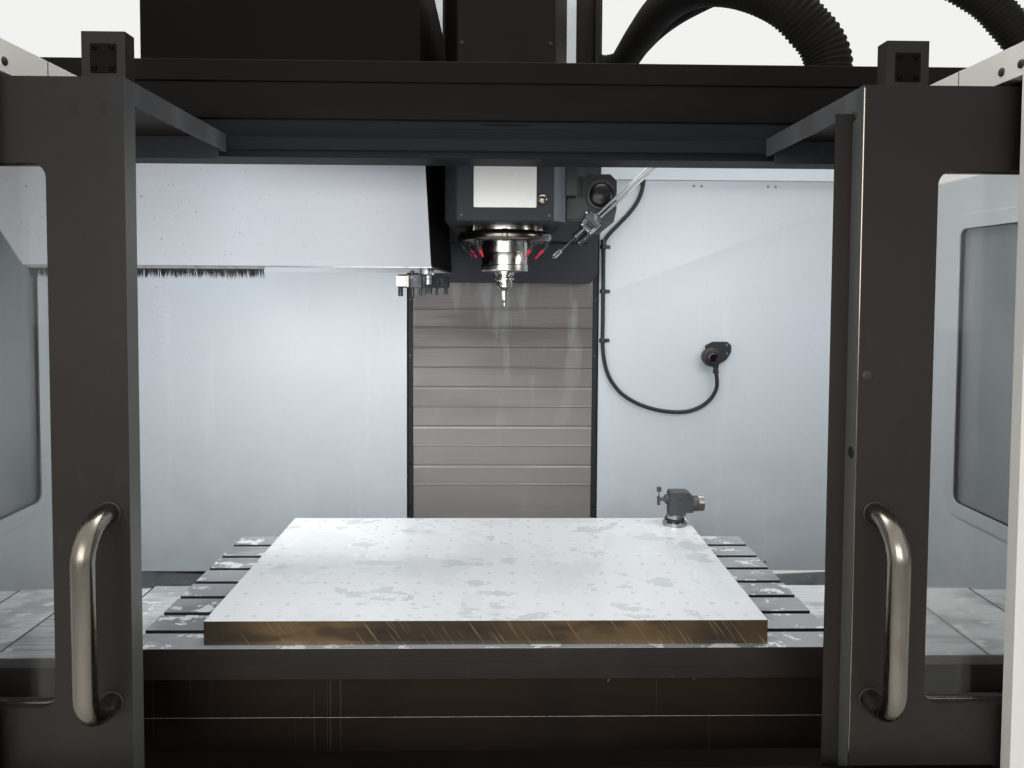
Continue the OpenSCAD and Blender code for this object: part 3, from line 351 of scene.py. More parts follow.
def turnedTo(direction):  # matrix that turns +Z to the direction
    return np.array(Vector(direction).to_track_quat("Z", "Y").to_matrix())


def lathe(profile, place=(0, 0, 0), direction=(0, 0, 1), sides=48):
    # profile rows are (radius, height): x = radius cos(angle), y = radius sin(angle), z = height, then turned
    radius, height = np.array(profile, float).T
    angle = turnAngles(sides)
    ring = np.stack(np.broadcast_arrays(radius[:, None] * np.cos(angle), radius[:, None] * np.sin(angle),
        height[:, None]), -1).reshape(-1, 3)
    return ring @ turnedTo(direction).T + place, gridFaces(len(radius), sides, loopColumns=True)


def turned(profile, *more, **settings):  # a lathe shape that runs in to its axis at both ends
    return lathe([(0.01, profile[0][1]), *profile, (0.01, profile[-1][1])], *more, **settings)


def peg(radius, height, *more, **settings):  # a plain cylinder
    return turned([(radius, 0), (radius, height)], *more, **settings)


def swept(path, section, loop=False, reference=(0, 1, 0)):
    # section points (a, b) stand square to the path: point = path + a side + b up, side = tangent x reference
    path, section = np.array(path, float), np.array(section, float)
    if section.ndim == 2:
        section = np.broadcast_to(section, (len(path), *section.shape))
    tangent = np.roll(path, -1, 0) - np.roll(path, 1, 0) if loop else np.gradient(path, axis=0)
    tangent /= np.linalg.norm(tangent, axis=1, keepdims=True)
    side = np.cross(tangent, reference)
    side /= np.linalg.norm(side, axis=1, keepdims=True)
    up = np.cross(side, tangent)
    points = path[:, None] + section[..., :1] * side[:, None] + section[..., 1:] * up[:, None]
    count = section.shape[1]
    faces = gridFaces(len(path), count, loopRows=loop, loopColumns=True)
    if not loop:
        faces += [list(range(count)), [len(path) * count - 1 - i for i in range(count)]]
    return points.reshape(-1, 3), faces


def circle(radius, sides=16):  # section of a round tube: radius (cos, sin) of each angle
    angle = turnAngles(sides)
    return np.stack([np.cos(angle), np.sin(angle)], -1) * radius


def aroundAxis(centre, radius, degrees):  # points on a level circle: centre + radius (cos, sin, 0)
    angle = np.radians(degrees)
    return np.stack([centre[0] + radius * np.cos(angle), centre[1] + radius * np.sin(angle),
        np.full(len(angle), centre[2])], -1)


def hose(path, radii, sides, **settings):  # a tube with a circle of its own radius at each path point
    return swept(path, radii[:, None, None] * circle(1.0, sides)[None], **settings)


def roundedLoop(width, height, radius, steps=8):  # rounded rectangle: corner centre + radius at angle
    angle = np.linspace(0, math.pi / 2, steps)
    corners = [(1, 1, 0), (-1, 1, 1), (-1, -1, 2), (1, -1, 3)]
    return np.concatenate([np.stack([sx * (width / 2 - radius) + radius * np.cos(angle + turn * math.pi / 2),
        sy * (height / 2 - radius) + radius * np.sin(angle + turn * math.pi / 2)], -1)
        for sx, sy, turn in corners])


def smoothPath(points, steps=8):  # Catmull-Rom curve through the points, each stretch cut in steps
    p = np.array(points, float)
    p = np.concatenate([[2 * p[0] - p[1]], p, [2 * p[-1] - p[-2]]])
    t = np.linspace(0, 1, steps, endpoint=False)[None, :, None]
    a, b, c, d = (p[i : len(p) - 3 + i, None] for i in range(4))
    curve = 0.5 * (2 * b + (c - a) * t + (2 * a - 5 * b + 4 * c - d) * t**2 + (3 * b - a - 3 * c + d) * t**3)
    return np.concatenate([curve.reshape(-1, 3), p[-2:-1]])


def evenPath(points, steps, spacing):  # the curve again in equal strides, and how far along it each point lies
    curve = smoothPath(points, steps)
    run = np.concatenate([[0], np.cumsum(np.linalg.norm(np.diff(curve, axis=0), axis=1))])
    even = np.arange(0, run[-1], spacing)
    return np.stack([np.interp(even, run, curve[:, axis]) for axis in range(3)], -1), even


def blocks(*boxes):  # boxes given as x0, x1, y0, y1, z0, z1
    limits = np.array(boxes, float).reshape(-1, 3, 2)
    pick = np.array([[x, y, z] for x in (0, 1) for y in (0, 1) for z in (0, 1)])
    points = np.stack([limits[:, axis][:, pick[:, axis]] for axis in range(3)], -1).reshape(-1, 3)
    faces = [[0, 1, 3, 2], [4, 6, 7, 5], [0, 4, 5, 1], [2, 3, 7, 6], [0, 2, 6, 4], [1, 5, 7, 3]]
    return points, [[corner + 8 * i for corner in face] for i in range(len(limits)) for face in faces]


def prism(outline, start, end, axis="Y"):  # outline in the other two axes, drawn out between start and end
    flat = np.array(outline, float)
    count = len(flat)
    points = np.stack([np.insert(flat, "XYZ".index(axis), at, axis=1) for at in (start, end)]).reshape(-1, 3)
    return points, gridFaces(2, count, loopColumns=True) + [list(range(count)), list(range(count, 2 * count))]


def repeated(shape, places):  # the shape once at each place
    points, faces = shape
    places = np.array(places, float)
    copies = (places[:, None] + points[None]).reshape(-1, 3)
    count = len(points)
    return copies, [[corner + count * i for corner in face] for i in range(len(places)) for face in faces]


def screws(places, direction, head=11.0, rise=5.0):  # cap heads with a hexagon socket
    half = head / 2
    hexagon = lathe([(half * 0.45, rise - 0.2), (half * 0.45, rise * 0.35), (0.01, rise * 0.35)], sides=6)
    cap = lathe([(0.01, 0), (half, 0), (half, rise - 0.8), (half - 0.8, rise), (half * 0.5, rise)], sides=18)
    turn = turnedTo(direction).T
    points, faces = joined(cap, hexagon)
    return repeated((points @ turn, faces), places)


def addPiece(name, shape, body, finish, bevel=0.0, segments=2, hides=(), angle=35, weld=0.01):
    points, faces = joined(*shape) if isinstance(shape, list) else shape  # one shape or a list of them
    mesh = bpy.data.meshes.new(name)
    mesh.from_pydata((np.asarray(points) / 1000).tolist(), [], faces)
    work = bmesh.new()
    work.from_mesh(mesh)
    bmesh.ops.remove_doubles(work, verts=work.verts, dist=weld / 1000)
    bmesh.ops.recalc_face_normals(work, faces=work.faces)
    work.to_mesh(mesh)
    work.free()
    finishPiece(name, mesh, body, finish, bevel, segments, hides, angle=angle)


def finishPiece(name, mesh, body, finish, bevel, segments=2, hides=(), paint=None, angle=35):
    piece = bpy.data.objects.new(name, mesh)
    bpy.context.scene.collection.objects.link(piece)
    names = [finish] if isinstance(finish, str) else list(finish)
    for finishName in names:
        mesh.materials.append(finishes[finishName])
    if paint:  # paint tells from the x, y and z of the face centres in mm which finish each face gets
        centres = np.zeros(len(mesh.polygons) * 3)
        mesh.polygons.foreach_get("center", centres)
        chosen = paint(*(centres.reshape(-1, 3) * 1000).T).astype(np.int32)
        mesh.polygons.foreach_set("material_index", chosen)
    mesh.polygons.foreach_set("use_smooth", np.ones(len(mesh.polygons), bool))
    mesh.set_sharp_from_angle(angle=math.radians(angle))
    if bevel:
        edge = piece.modifiers.new("edge", "BEVEL")
        edge.width, edge.segments, edge.limit_method = bevel / 1000, segments, "ANGLE"
        edge.angle_limit, edge.harden_normals = math.radians(30), True
    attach(piece, body)
    if hides:
        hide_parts(*hides)


def softened(node, bevel, finish=None, paint=None):
    # the node's own shape with its edges broken: a merged copy, its flat faces dissolved, then bevelled
    mesh = nodes[node].data.copy()
    mesh.materials.clear()
    work = bmesh.new()
    work.from_mesh(mesh)
    bmesh.ops.remove_doubles(work, verts=work.verts, dist=0.00001)
    bmesh.ops.dissolve_limit(work, angle_limit=math.radians(1), verts=work.verts, edges=work.edges)
    work.to_mesh(mesh)
    work.free()
    label = "".join(part.capitalize() if i else part for i, part in enumerate(node.split("_")))
    finishPiece(label, mesh, bodyOf[node], finish or nodeFinish[node], bevel, hides=(node,), paint=paint)


print("tools ready")

# Sheet metal, castings and cabinets keep the solids' shapes with broken edges
edgeBreaks = {"header": 2.5, "column": 4.0, "saddle": 4.0, "base": 5.0, "table": 1.2, "cabinet": 3.0,
    "pendant_arm": 3.0, "spindle_motor": 4.0, "work_lights": 4.0, "changer_drive": 4.0, "changer_arm": 2.0,
    "chip_trays": 1.0, "coolant_tank": 3.0}
for node, width in edgeBreaks.items():
    softened(node, width)
for k in range(4):
    softened(f"y_cover_{k}", 0.6)

# the faces on the doors' meeting edges take the lighter enamel: painted light
softened("left_door", 2.0, ("charcoalEnamel", "edgeEnamel"), paint=lambda x, y, z: np.abs(x + 675) < 0.5)
softened("right_door", 1.2, ("charcoalEnamel", "edgeEnamel"), paint=lambda x, y, z: np.abs(x - 633) < 0.5)


# the black on the sill's top and on the faces behind the panels is painted shade
def panelPaint(x, y, z):  # cream outside, charcoal between the cream panels, black on the sill's top and behind
    between = np.where((np.abs(x) < 897.5) & (z < 837), np.where(z > 830.5, 2, 1), 0)
    return np.where(y < -1350, between, np.where((np.abs(x) < 1789.9) & (z < 800), 2, 0))


softened("front_panels", 2.0, ("creamEnamel", "charcoalEnamel", "blackPaint"), paint=panelPaint)
# a steel strip on the sill's front edge: a painted highlight along its rim
addPiece("sillTrim", blocks((-896, 896, -1399, -1397.4, 832.5, 836.6)), "frame", "coverSteel", bevel=0.4)
softened("side_walls", 3.0, ("paleEnamel", "darkGlass", "creamEnamel"), paint=lambda x, y, z: np.where(
    (np.abs(x) > 1808) & (np.abs(x) < 1818), 1, np.where(np.abs(x) > 1849, 2, 0)))
softened("back_wall", 1.0)
# the cover's top above the roof and its right side are painted black: painted shade
softened("changer_cover", 1.2, ("whiteEnamel", "blackPaint"), paint=lambda x, y, z: (z > 2300.5) | (x > -240))
softened("cabinet_door", 3.0, ("creamEnamel", "blackPolyamide"), paint=lambda x, y, z: y > 1584)
# the keys under the screen, and the screen itself
softened("pendant", 2.5, ("blackPolyamide", "keyCap", "screenGlass"), paint=lambda x, y, z: np.where(
    (y < -1577) & (z < 1340), 1, np.where((y > -1575) & (y < -1573.5) & (z > 1381), 2, 0)))
softened("head", 5.0, ("headPaint", "headSide"), paint=lambda x, y, z: (x > 143) & (x < 181) & (y < 300))
softened("spigot_drive", 4.0, ("driveGrey", "blackPolyamide"), paint=lambda x, y, z: x < 235.5)
softened("fixture_plate", 0.0)
print("solids softened")

# Doors: thin trims round the windows, handles, blanking caps and hangers, with the beams' plugs and seams
door = {"front": -1350.0, "margin": 138.0, "width": 925.0, "windowLow": 951.0, "windowHigh": 1928.0,
    "windowRadius": 26.0}
windowMiddle = (door["windowLow"] + door["windowHigh"]) / 2
doorSides = ((-1, "left_door", -675.0), (1, "right_door", 633.0))  # side, body, X of the meeting edge
for side, body, edge in doorSides:
    flat = roundedLoop(door["width"] - 2 * door["margin"] - 2, door["windowHigh"] - door["windowLow"] - 2,
        door["windowRadius"] - 1, 10) + [edge + side * door["width"] / 2, windowMiddle]
    trims = [swept(np.insert(flat, 1, door["front"] + deep, axis=1), circle(1.6, 8), loop=True)
        for deep in (15, 23)]
    addPiece(body + "Trim", trims, body, "satinStainless")

handle = {"bend": 64.0, "reach": 81.0, "height": 384.0, "middle": 1134.0, "radius": 19.0, "inset": 37.0}
half = handle["height"] / 2 - handle["radius"]
arc = np.linspace(0, math.pi / 2, 12)
for side, body, edge in doorSides:
    x = edge + side * handle["inset"]
    upper = np.stack([np.full(12, x), door["front"] - handle["reach"] + handle["bend"] * (1 - np.cos(arc)),
        handle["middle"] + half - handle["bend"] * (1 - np.sin(arc))], -1)
    path = np.concatenate([[[x, door["front"] + 0.5, upper[-1, 2]]], upper[::-1]])
    lower = path[::-1] * [1, 1, -1] + [0, 0, 2 * handle["middle"]]
    bar = swept(np.concatenate([path, lower]), circle(handle["radius"], 32), reference=(1, 0, 0))
    addPiece(body + "Handle", bar, body, "satinStainless", hides=(body.replace("door", "handle"),), angle=50)
    rings = [lathe([(18.9, 0), (22.4, 0), (22.4, 1.6), (21.4, 2.6), (18.9, 2.6)], (x, door["front"], z),
        (0, -1, 0), 40) for z in (path[0, 2], lower[-1, 2])]
    addPiece(body + "HandleRings", rings, body, "blackRubber", angle=50)
# the doors' edges all but meet, so the two caps on an edge are nearly flush
sunkCap = [(10.6, 0.25), (11, 0)]
doorCaps = [turned(shape, place, direction, 28) for shape, place, direction in (
    (sunkCap, (633, -1315, 2033), (-1, 0, 0)), (sunkCap, (633, -1333, 1415), (-1, 0, 0)),
    ([(6.5, 3.2), (9, 2.6), (11, 1.2), (11, 0)], (651, door["front"], 1558), (0, -1, 0)))]
addPiece("doorCaps", doorCaps, "right_door", "blackRubber", angle=50)
# a thin stainless rod down the right door's meeting edge: a painted highlight
highlightLine = [(doorSides[1][2] + 0.6, door["front"] + 0.6, z) for z in (694, 1200, 1700, 2074)]
addPiece("doorEdge", swept(highlightLine, circle(1.5, 8)), "right_door", "satinStainless")
hanger = {"front": -1322.0, "thick": 2.0, "low": 2094.0, "high": 2146.0}
for side, body, edge in ((-1, "left_door", -687.0), (1, "right_door", 688.0)):
    hangerPlate = blocks(sorted((edge + side * 16, edge + side * 62)) + [hanger["front"],
        hanger["front"] + hanger["thick"], hanger["low"], hanger["high"]])
    addPiece(body + "HangerPlate", hangerPlate, body, "blackPaint", bevel=0.8)
    hangerScrews = [(edge + side * x, hanger["front"], z) for x in (24, 54)
        for z in (hanger["low"] + 8, hanger["high"] - 8)]
    addPiece(body + "HangerScrews", screws(hangerScrews, (0, -1, 0), 9, 3.5), body, "blackPaint")
# the roof's rear fold as the opening shows it, lower than the roof's own edge
for body, x0, x1 in (("left_door", -1595, -690), ("right_door", 650, 1553)):
    addPiece(body + "RoofFold", blocks((x0, x1, -898.5, -896.2, 2018.5, 2072.5)), body, "foldEnamel",
        bevel=0.8)
beam = {"half": 898.0, "low": 2093.0, "high": 2149.0, "plugZ": 2112.0}
beamPlugs = [turned([(5.5, 2.4), (7.6, 1.4), (8, 0)], (side * beam["half"], y, beam["plugZ"]),
    (-side, 0, 0), 24) for side in (-1, 1) for y in (-1372, -1324, -980)]
addPiece("beamPlugs", beamPlugs, "frame", "blackRubber", angle=50)
beamSeams = [blocks(sorted((side * (beam["half"] - 0.6), side * (beam["half"] + 0.2))) + [-1204.5, -1203,
    beam["low"], beam["high"]]) for side in (1, -1)]
addPiece("beamSeams", beamSeams, "frame", "blackPaint")
print("doors made")

# Telescopic covers over the X ways: sheets folded down front and back, one of them with grooves pressed along
# it. The top is a line over Y with dips of cosine shape, the folds are quarter circles, and a wiper ends each
# sheet but the lowest.
ways = {"front": -925.0, "back": -395.0, "top": 767.0, "step": 3.1, "thick": 2.5, "skirt": 44.0,
    "length": 458.6, "carrier": 400.0, "offset": -37.0, "end": 1720.0, "fold": 4.0, "groovePitch": 27.0,
    "grooveDeep": 1.7}
for k in range(5):
    inset = (4 - k) * ways["step"]
    front, back, top = ways["front"] + inset, ways["back"] - inset, ways["top"] - inset
    low, thick = top - ways["skirt"], ways["thick"]
    across = np.linspace(front + ways["fold"], back - ways["fold"], 420 if k == 2 else 3)
    wave = np.cos((across - front) / ways["groovePitch"] * 2 * math.pi)
    dips = ways["grooveDeep"] * np.clip((wave - 0.7) / 0.3, 0, 1) * (k == 2)
    bend = np.linspace(0, math.pi / 2, 6)
    fold = ways["fold"] * np.stack([1 - np.cos(bend), np.sin(bend) - 1], -1)
    outer = np.concatenate([[(front, low)], [front, top] + fold, np.stack([across, top - dips], -1),
        ([back, top] + fold * [-1, 1])[::-1], [(back, low)]])
    inner = [(back - thick, low), (back - thick, top - thick), (front + thick, top - thick),
        (front + thick, low)]
    sheetShapes, wipers = [], []
    for side in (-1, 1):
        base = ways["carrier"] + side * ways["offset"]
        near = base + (1 - k / 4) * (ways["end"] - base - ways["length"])
        far = near + ways["length"]
        sheetShapes.append(prism(np.concatenate([outer, inner]), *sorted((side * near, side * far)), "X"))
        wipers.append(blocks(sorted((side * (far - 3), side * (far + 2.5))) + [front + 6, back - 6, top - 7,
            top + 0.35]))
    body = bodyOf[f"x_cover_{k}"]
    addPiece(f"xCover{k}", sheetShapes, body, nodeFinish[f"x_cover_{k}"], hides=(f"x_cover_{k}",))
    if k:
        addPiece(f"xWiper{k}", wipers, body, "blackRubber")

# Telescopic covers over the Z ways: each sheet ends in a rolled lip, and all but the lowest have a pressed bead
wayCover = {"halfWidth": 404.0, "front": 545.0, "sheet": 2.5, "gap": 3.1, "pitch": 179.0, "length": 205.0,
    "top": 1735.0, "lowest": 650.0, "lip": 2.6, "bead": 1.4}
for k in range(6):
    edge = wayCover["top"] - (5 - k) * wayCover["pitch"]
    bottom = wayCover["lowest"] if k == 0 else edge - wayCover["length"]
    top = edge + 30 if k == 5 else edge
    y = wayCover["front"] + (5 - k) * wayCover["gap"]
    # the sheet's front as depth over height: a bead is a dip of cosine shape, the lip half a circle
    beadAt = edge - wayCover["length"] + wayCover["pitch"] / 2
    height = np.concatenate([[top, beadAt + 12], np.linspace(beadAt + 8, beadAt - 8, 13),
        [beadAt - 12, bottom + 8]])
    wave = (1 + np.cos((height - beadAt) / 8 * math.pi)) / 2
    dip = np.where(np.abs(height - beadAt) < 8.1, wayCover["bead"] * wave, 0)
    turn = np.linspace(math.pi / 2, 3 * math.pi / 2, 9)
    lipY, lipZ = y + 0.6 + wayCover["lip"] * np.cos(turn), bottom + 4 + 4 * np.sin(turn)
    frontLine = np.concatenate([np.stack([y + dip * (k > 0), height], -1), np.stack([lipY, lipZ], -1)])
    backLine = [(y + wayCover["sheet"], bottom), (y + wayCover["sheet"], top)]
    sheet = prism(np.concatenate([frontLine, backLine]), -wayCover["halfWidth"], wayCover["halfWidth"], "X")
    addPiece(f"wayCover{k}", sheet, bodyOf[f"z_cover_{k}"], "coverSteel", hides=(f"z_cover_{k}",))
railScrews = [(side * 416, 548, z) for side in (-1, 1) for z in (1659, 1408, 1162, 916, 720)]
addPiece("railScrews", screws(railScrews, (0, -1, 0), 12, 4), "frame", "blackenedSteel")
print("way covers made")

# Changer: brush strip under the cover's front edge, its bristles bent out of line
brush = {"left": -1334.0, "right": -680.0, "y": -611.0, "top": 1772.0, "length": 29.0, "count": 860,
    "spread": 3.8}
dice = np.random.default_rng(7)
left, right, count = brush["left"], brush["right"], brush["count"]
along = np.linspace(left + 3, right - 3, count) + dice.normal(0, 0.8, count)
root = np.stack([along, brush["y"] + dice.uniform(-2.5, 2.5, count), np.full(count, brush["top"] - 6)], -1)
clump = np.interp(along, np.linspace(left, right, 60), dice.normal(0, brush["spread"], 60))
tip = root + np.stack([clump + dice.normal(0, 1.4, count), dice.normal(-1, 2.5, count),
    -brush["length"] + dice.normal(0, 3.2, count)], -1)
foot = np.array([[-1, -1, 0], [1, -1, 0], [1, 1, 0], [-1, 1, 0]]) * 1.1  # a bristle: square foot, one tip
points = np.concatenate([root[:, None] + foot, tip[:, None]], 1).reshape(-1, 3)
tufts = [[5 * i + corner for corner in face] for i in range(count)
    for face in ((0, 1, 4), (1, 2, 4), (2, 3, 4), (3, 0, 4), (3, 2, 1, 0))]
addPiece("changerBrush", (points, tufts), "frame", "blackPolyamide", weld=0.0001)
addPiece("changerBrushHolder", blocks((left, right, brush["y"] - 4, brush["y"] + 4,
    brush["top"] - 9, brush["top"] + 2)), "frame", "platedMetal", bevel=0.8)
coverEdges = blocks((-1345, -214, -619, -613, 1768.5, 1772), (-214, -208, -619, 229, 1768, 1774))
addPiece("changerCoverEdge", coverEdges, "frame", "platedMetal", bevel=0.8)

# Gripper arm: ground jaw faces, the jaws' plungers and their grub screws. They are drawn at the front hook and
# turned half round the arm's shaft for the rear one.
jaws, plungers, grips = [], [], []
shaft = {"x": -255.0, "y": -310.0}
for end in (-1, 1):
    def armSpot(x, y):
        return shaft["x"] + end * (x - shaft["x"]), shaft["y"] + end * (y - shaft["y"])

    def armBox(x0, x1, y0, y1, z0, z1):
        return *(value for pair in zip(armSpot(x0, y0), armSpot(x1, y1)) for value in sorted(pair)), z0, z1

    def armPin(profile, x, y, z):
        return turned(profile, (*armSpot(x, y), z), sides=20)

    jaws.append(blocks(armBox(-309, -277, -622.5, -598, 1715.5, 1746.5),
        armBox(-277, -272, -621, -600, 1714, 1748)))
    jaws.append(lathe([(0.01, 3), (5, 2.5), (9, 0), (0.01, 0)], (*armSpot(-294, -608), 1746.4), sides=20))
    for shape, x, y, z in (([(7, 0), (7, 20), (5, 26)], -297, -605, 1688),
            ([(4.6, 0), (4.6, 26)], -262, -608, 1686), ([(4.8, 0), (4.8, 25)], -240, -610, 1690),
            ([(3.6, 0), (3.6, 22)], -228, -608, 1692), ([(6.2, 0), (6.2, 11), (5, 12)], -264, -606, 1749)):
        plungers.append(armPin(shape, x, y, z))
    grips += [armPin([(9, 0), (10, 1), (10, 5), (9, 6), (9, 8), (10, 9), (10, 13), (9, 14), (9, 16), (10, 17),
        (10, 24), (8, 27)], -218, -611, 1722), armPin([(5, 0), (5, 6)], -206, -606, 1749)]
addPiece("armJaws", jaws, "changer_arm", "satinStainless", bevel=1.2)
addPiece("armPlungers", plungers, "changer_arm", "blackenedSteel", angle=40)
addPiece("armGrips", grips, "changer_arm", "platedMetal", angle=30)

# Head: bare label plate, chromed plug, cover screws
headFace = {"y": -550.0, "labelWidth": 183.0, "labelHeight": 134.0, "labelRadius": 3.0, "labelThick": 1.2}
labelPlate = roundedLoop(headFace["labelWidth"], headFace["labelHeight"], headFace["labelRadius"], 6)
labelPlate += [-1, 2015]
addPiece("labelPlate", prism(labelPlate, headFace["y"] - headFace["labelThick"], headFace["y"], "Y"), "head",
    "bareLabel", bevel=0.3)
addPiece("headPlug", lathe([(0.01, 11), (8, 10.2), (13, 7), (15.5, 2.5), (16, 0), (0.01, 0)],
    (108, headFace["y"], 1972), (0, -1, 0)), "head", "satinStainless", angle=60)
headScrews = [(x, headFace["y"], z) for x in (-128, 128) for z in (1925, 2180, 2420)]
addPiece("headScrews", screws(headScrews, (0, -1, 0), 10, 3.5), "head", "blackenedSteel")

# Spindle nose, turned in one profile from the bore to the flange, with the cap's screws
nose = {"y": -310.0, "face": 1766.0}
profile = [(44.5, 0), (72, 0), (76, 2), (77, 4), (77, 8.6), (75.6, 9.6), (75.6, 12.6), (77, 13.6), (77, 20),
    (76.2, 21.4), (74.4, 22.4), (74.4, 60), (74.0, 61), (74.0, 63), (74.4, 64), (74.4, 127), (78, 128),
    (125, 128), (126.4, 129.4), (126.4, 141.9), (95, 141.9), (95, 714), (44.5, 714), (44.5, 0)]
addPiece("spindleNose", lathe([(r, z + nose["face"]) for r, z in profile], (0, nose["y"], 0), sides=96),
    "head", "turnedSteel", hides=("spindle_housing",), angle=24)
capScrews = aroundAxis((0, nose["y"], nose["face"]), 61, np.arange(8) * 45 + 22.5)
addPiece("noseScrews", screws(capScrews, (0, 0, -1), 9, 1.0), "head", "blackenedSteel")
keys = blocks((-56, -36, nose["y"] - 8, nose["y"] + 8, nose["face"] - 1.8, nose["face"] + 6),
    (36, 56, nose["y"] - 8, nose["y"] + 8, nose["face"] - 1.8, nose["face"] + 6))
addPiece("driveKeys", keys, "spindle", "blackenedSteel", bevel=0.8)

# Tool holder: taper, flange with its groove, slotted nut, and a cutter whose two flutes wind up the shank
face = 1764.0
profile = [(0.01, 66), (12.8, 66), (22.4, 0), (31.75, 0), (31.75, -7.2), (26.4, -12.2), (26.4, -13.8),
    (31.75, -18.8), (31.75, -24.6), (31, -25.4), (25, -26), (24.2, -30), (24.2, -32), (26, -33), (26, -46),
    (24.6, -48), (13.4, -58), (11.2, -59.4), (10.6, -61), (10.6, -90.5), (4.2, -97), (0.01, -97)]
holder = lathe([(r, face + z) for r, z in profile], (0, nose["y"], 0), sides=64)
height = np.linspace(face - 96.5, face - 112, 24)
angle = turnAngles(24)
wind = (height - height[0]) * 0.16
fluted = 3.4 - 1.1 * np.abs(np.sin(angle[None] + wind[:, None])) ** 3
fluted *= np.where(height < face - 110.5, 0.5, 1)[:, None]
section = np.stack([fluted * np.cos(angle), fluted * np.sin(angle)], -1)
cutter = swept(np.stack([0 * height, 0 * height + nose["y"], height], -1), section, reference=(0, 1, 0))
slots = [peg(3.2, 1.2, (25.2 * math.cos(a), nose["y"] + 25.2 * math.sin(a), face - 39),
    (math.cos(a), math.sin(a), 0), 10) for a in np.radians(np.arange(6) * 60 + 15)]
addPiece("toolHolder", [holder, cutter], "spindle", "turnedSteel", hides=("tool",), angle=28)
addPiece("nutSlots", slots, "spindle", "blackenedSteel")

# Coolant ring on four posts, with ball-jointed nozzles that end in red tips and a bent one at its left
ring = {"height": 1877.0, "radius": 136.0, "tube": 17.0}


def onRing(a, drop=0.0):  # the point on the ring at so many radians
    return np.array([ring["radius"] * math.cos(a), nose["y"] + ring["radius"] * math.sin(a),
        ring["height"] - drop])


around = turnAngles(96)
ringPath = np.stack([ring["radius"] * np.cos(around), nose["y"] + ring["radius"] * np.sin(around),
    np.full(96, ring["height"])], -1)
ringShapes = [swept(ringPath, circle(ring["tube"], 24), loop=True, reference=(0, 0, 1))]
ringShapes += [peg(10, 31, onRing(a), sides=20) for a in np.radians([45, 135, 225, 315])]
ringShapes.append(lathe([(18.6, -9), (19.4, -8), (19.4, 8), (18.6, 9)],
    (0, nose["y"] - ring["radius"], ring["height"]), (1, 0, 0), 32))
addPiece("coolantRing", ringShapes, "head", "ringSteel", hides=("coolant_ring",), angle=40)
sockets, tips = [], []
nozzles = [(-129, -70, 30), (-51, -110, 30), (-8, -165, 38), (60, -120, 30), (150, -45, 30)]
for degrees, lean, length in nozzles:
    start = onRing(math.radians(degrees), 14)
    target = np.array([0, nose["y"], 1640.0])
    aim = (target - start) / np.linalg.norm(target - start) + [0.25 * math.cos(math.radians(lean)), 0, 0]
    aim /= np.linalg.norm(aim)
    sockets.append(turned([(8.5, 0), (8.5, 9), (7, 11), (6, 14)], start, (0, 0, -1), 16))
    joint = start + [0, 0, -15]
    arcBall = np.linspace(0, math.pi, 9)
    sockets.append(lathe(np.stack([np.maximum(8 * np.sin(arcBall), 0.01), -8 * np.cos(arcBall)], -1), joint,
        aim, 16))
    sockets.append(turned([(8, 0), (8.6, 3), (8.6, 9), (6.4, 12)], joint + aim * 4, aim, 16))
    tips.append(lathe([(0.01, 0), (6.2, 0), (6.4, 5), (5, 7), (5, 11), (5.6, 12), (5.6, 15), (3.9, 17),
        (2.9, length), (0.01, length)], joint + aim * 15, aim, 16))
addPiece("nozzleSockets", sockets, "head", "blackPolyamide", angle=40)
addPiece("nozzleTips", tips, "head", "redAcetal", angle=40)
start = np.array([ring["radius"] * math.cos(math.pi), nose["y"] - 10, ring["height"] - 12])
bent = smoothPath([start, start + [0, 0, -14], start + [10, -6, -30], start + [34, -14, -50]], 5)
beads = 6.5 + 1.3 * np.cos(np.arange(len(bent)) * math.pi)
addPiece("sideNozzle", hose(bent, beads, 14), "head", "blackPolyamide", angle=60)

# Spigot: twin tubes in a clamp at the pivot, a short cylinder, and a thin rod with the nozzle block at its end
spigot = {"x": 271.0, "y": -450.0, "z": 1919.0, "tilt": 47.0}
lean = math.radians(spigot["tilt"])
upward = np.array([math.sin(lean), 0, math.cos(lean)])
across = np.array([math.cos(lean), 0, -math.sin(lean)])
pivot = np.array([spigot["x"], spigot["y"], spigot["z"]])


def spigotPoint(s, w, depth=-8.0):  # s along the tubes, w square to them
    return pivot + upward * s + across * w + [0, depth, 0]


def spigotBlocks(*rows):  # from and to along the tubes, square to them and in depth
    return [prism([spigotPoint(s, w)[[0, 2]] for s, w in ((s0, w0), (s1, w0), (s1, w1), (s0, w1))],
        spigot["y"] + depth0, spigot["y"] + depth1, "Y") for s0, s1, w0, w1, depth0, depth1 in rows]


tubes = [turned([(4.9, 0), (4.9, 316), (4.2, 317)], spigotPoint(12, w), upward, 18) for w in (-6.2, 6.2)]
barrel = turned([(5, 0), (6, 2), (6, 5), (13, 7), (14, 8.5), (14, 14), (12.6, 15.5), (12.6, 46)],
    spigotPoint(-84, -2), upward, 32)
sideBarrel = turned([(7, 0), (9, 2), (9, 24), (7.6, 26), (7.6, 42)], spigotPoint(-82, 19, -4), upward, 24)
rod = peg(3.3, 56, spigotPoint(-138, -2), upward, 14)
outlet = turned([(3, 0), (4.4, 6)], spigotPoint(-170, -2), upward, 14)
addPiece("spigotTubes", tubes, "spigot", "platedMetal", angle=40)
addPiece("spigotBarrels", [barrel, sideBarrel, rod, outlet], "spigot", "spigotSteel", angle=40)
fork = spigotBlocks((-40, 6, -24, -9, -24, 8), (-40, 6, 13, 26, -24, 8), (-40, -30, -24, 26, -24, 8),
    (-14, 8, -24, 26, -20, 8), (-164, -136, -9.5, -3, -15, 0), (-164, -140, -1, 5.5, -15, 0),
    (-142, -134, -9.5, 5.5, -15, 0), (8, 20, -13, 13, -18, 2))
addPiece("spigotFork", fork, "spigot", "spigotSteel", bevel=1.0)
knuckle = spigotBlocks((-14, 14, -30, 18, -29, -19), (-30, -14, -9, 13, -12, 4), (300, 318, -13, 13, -16, 0))
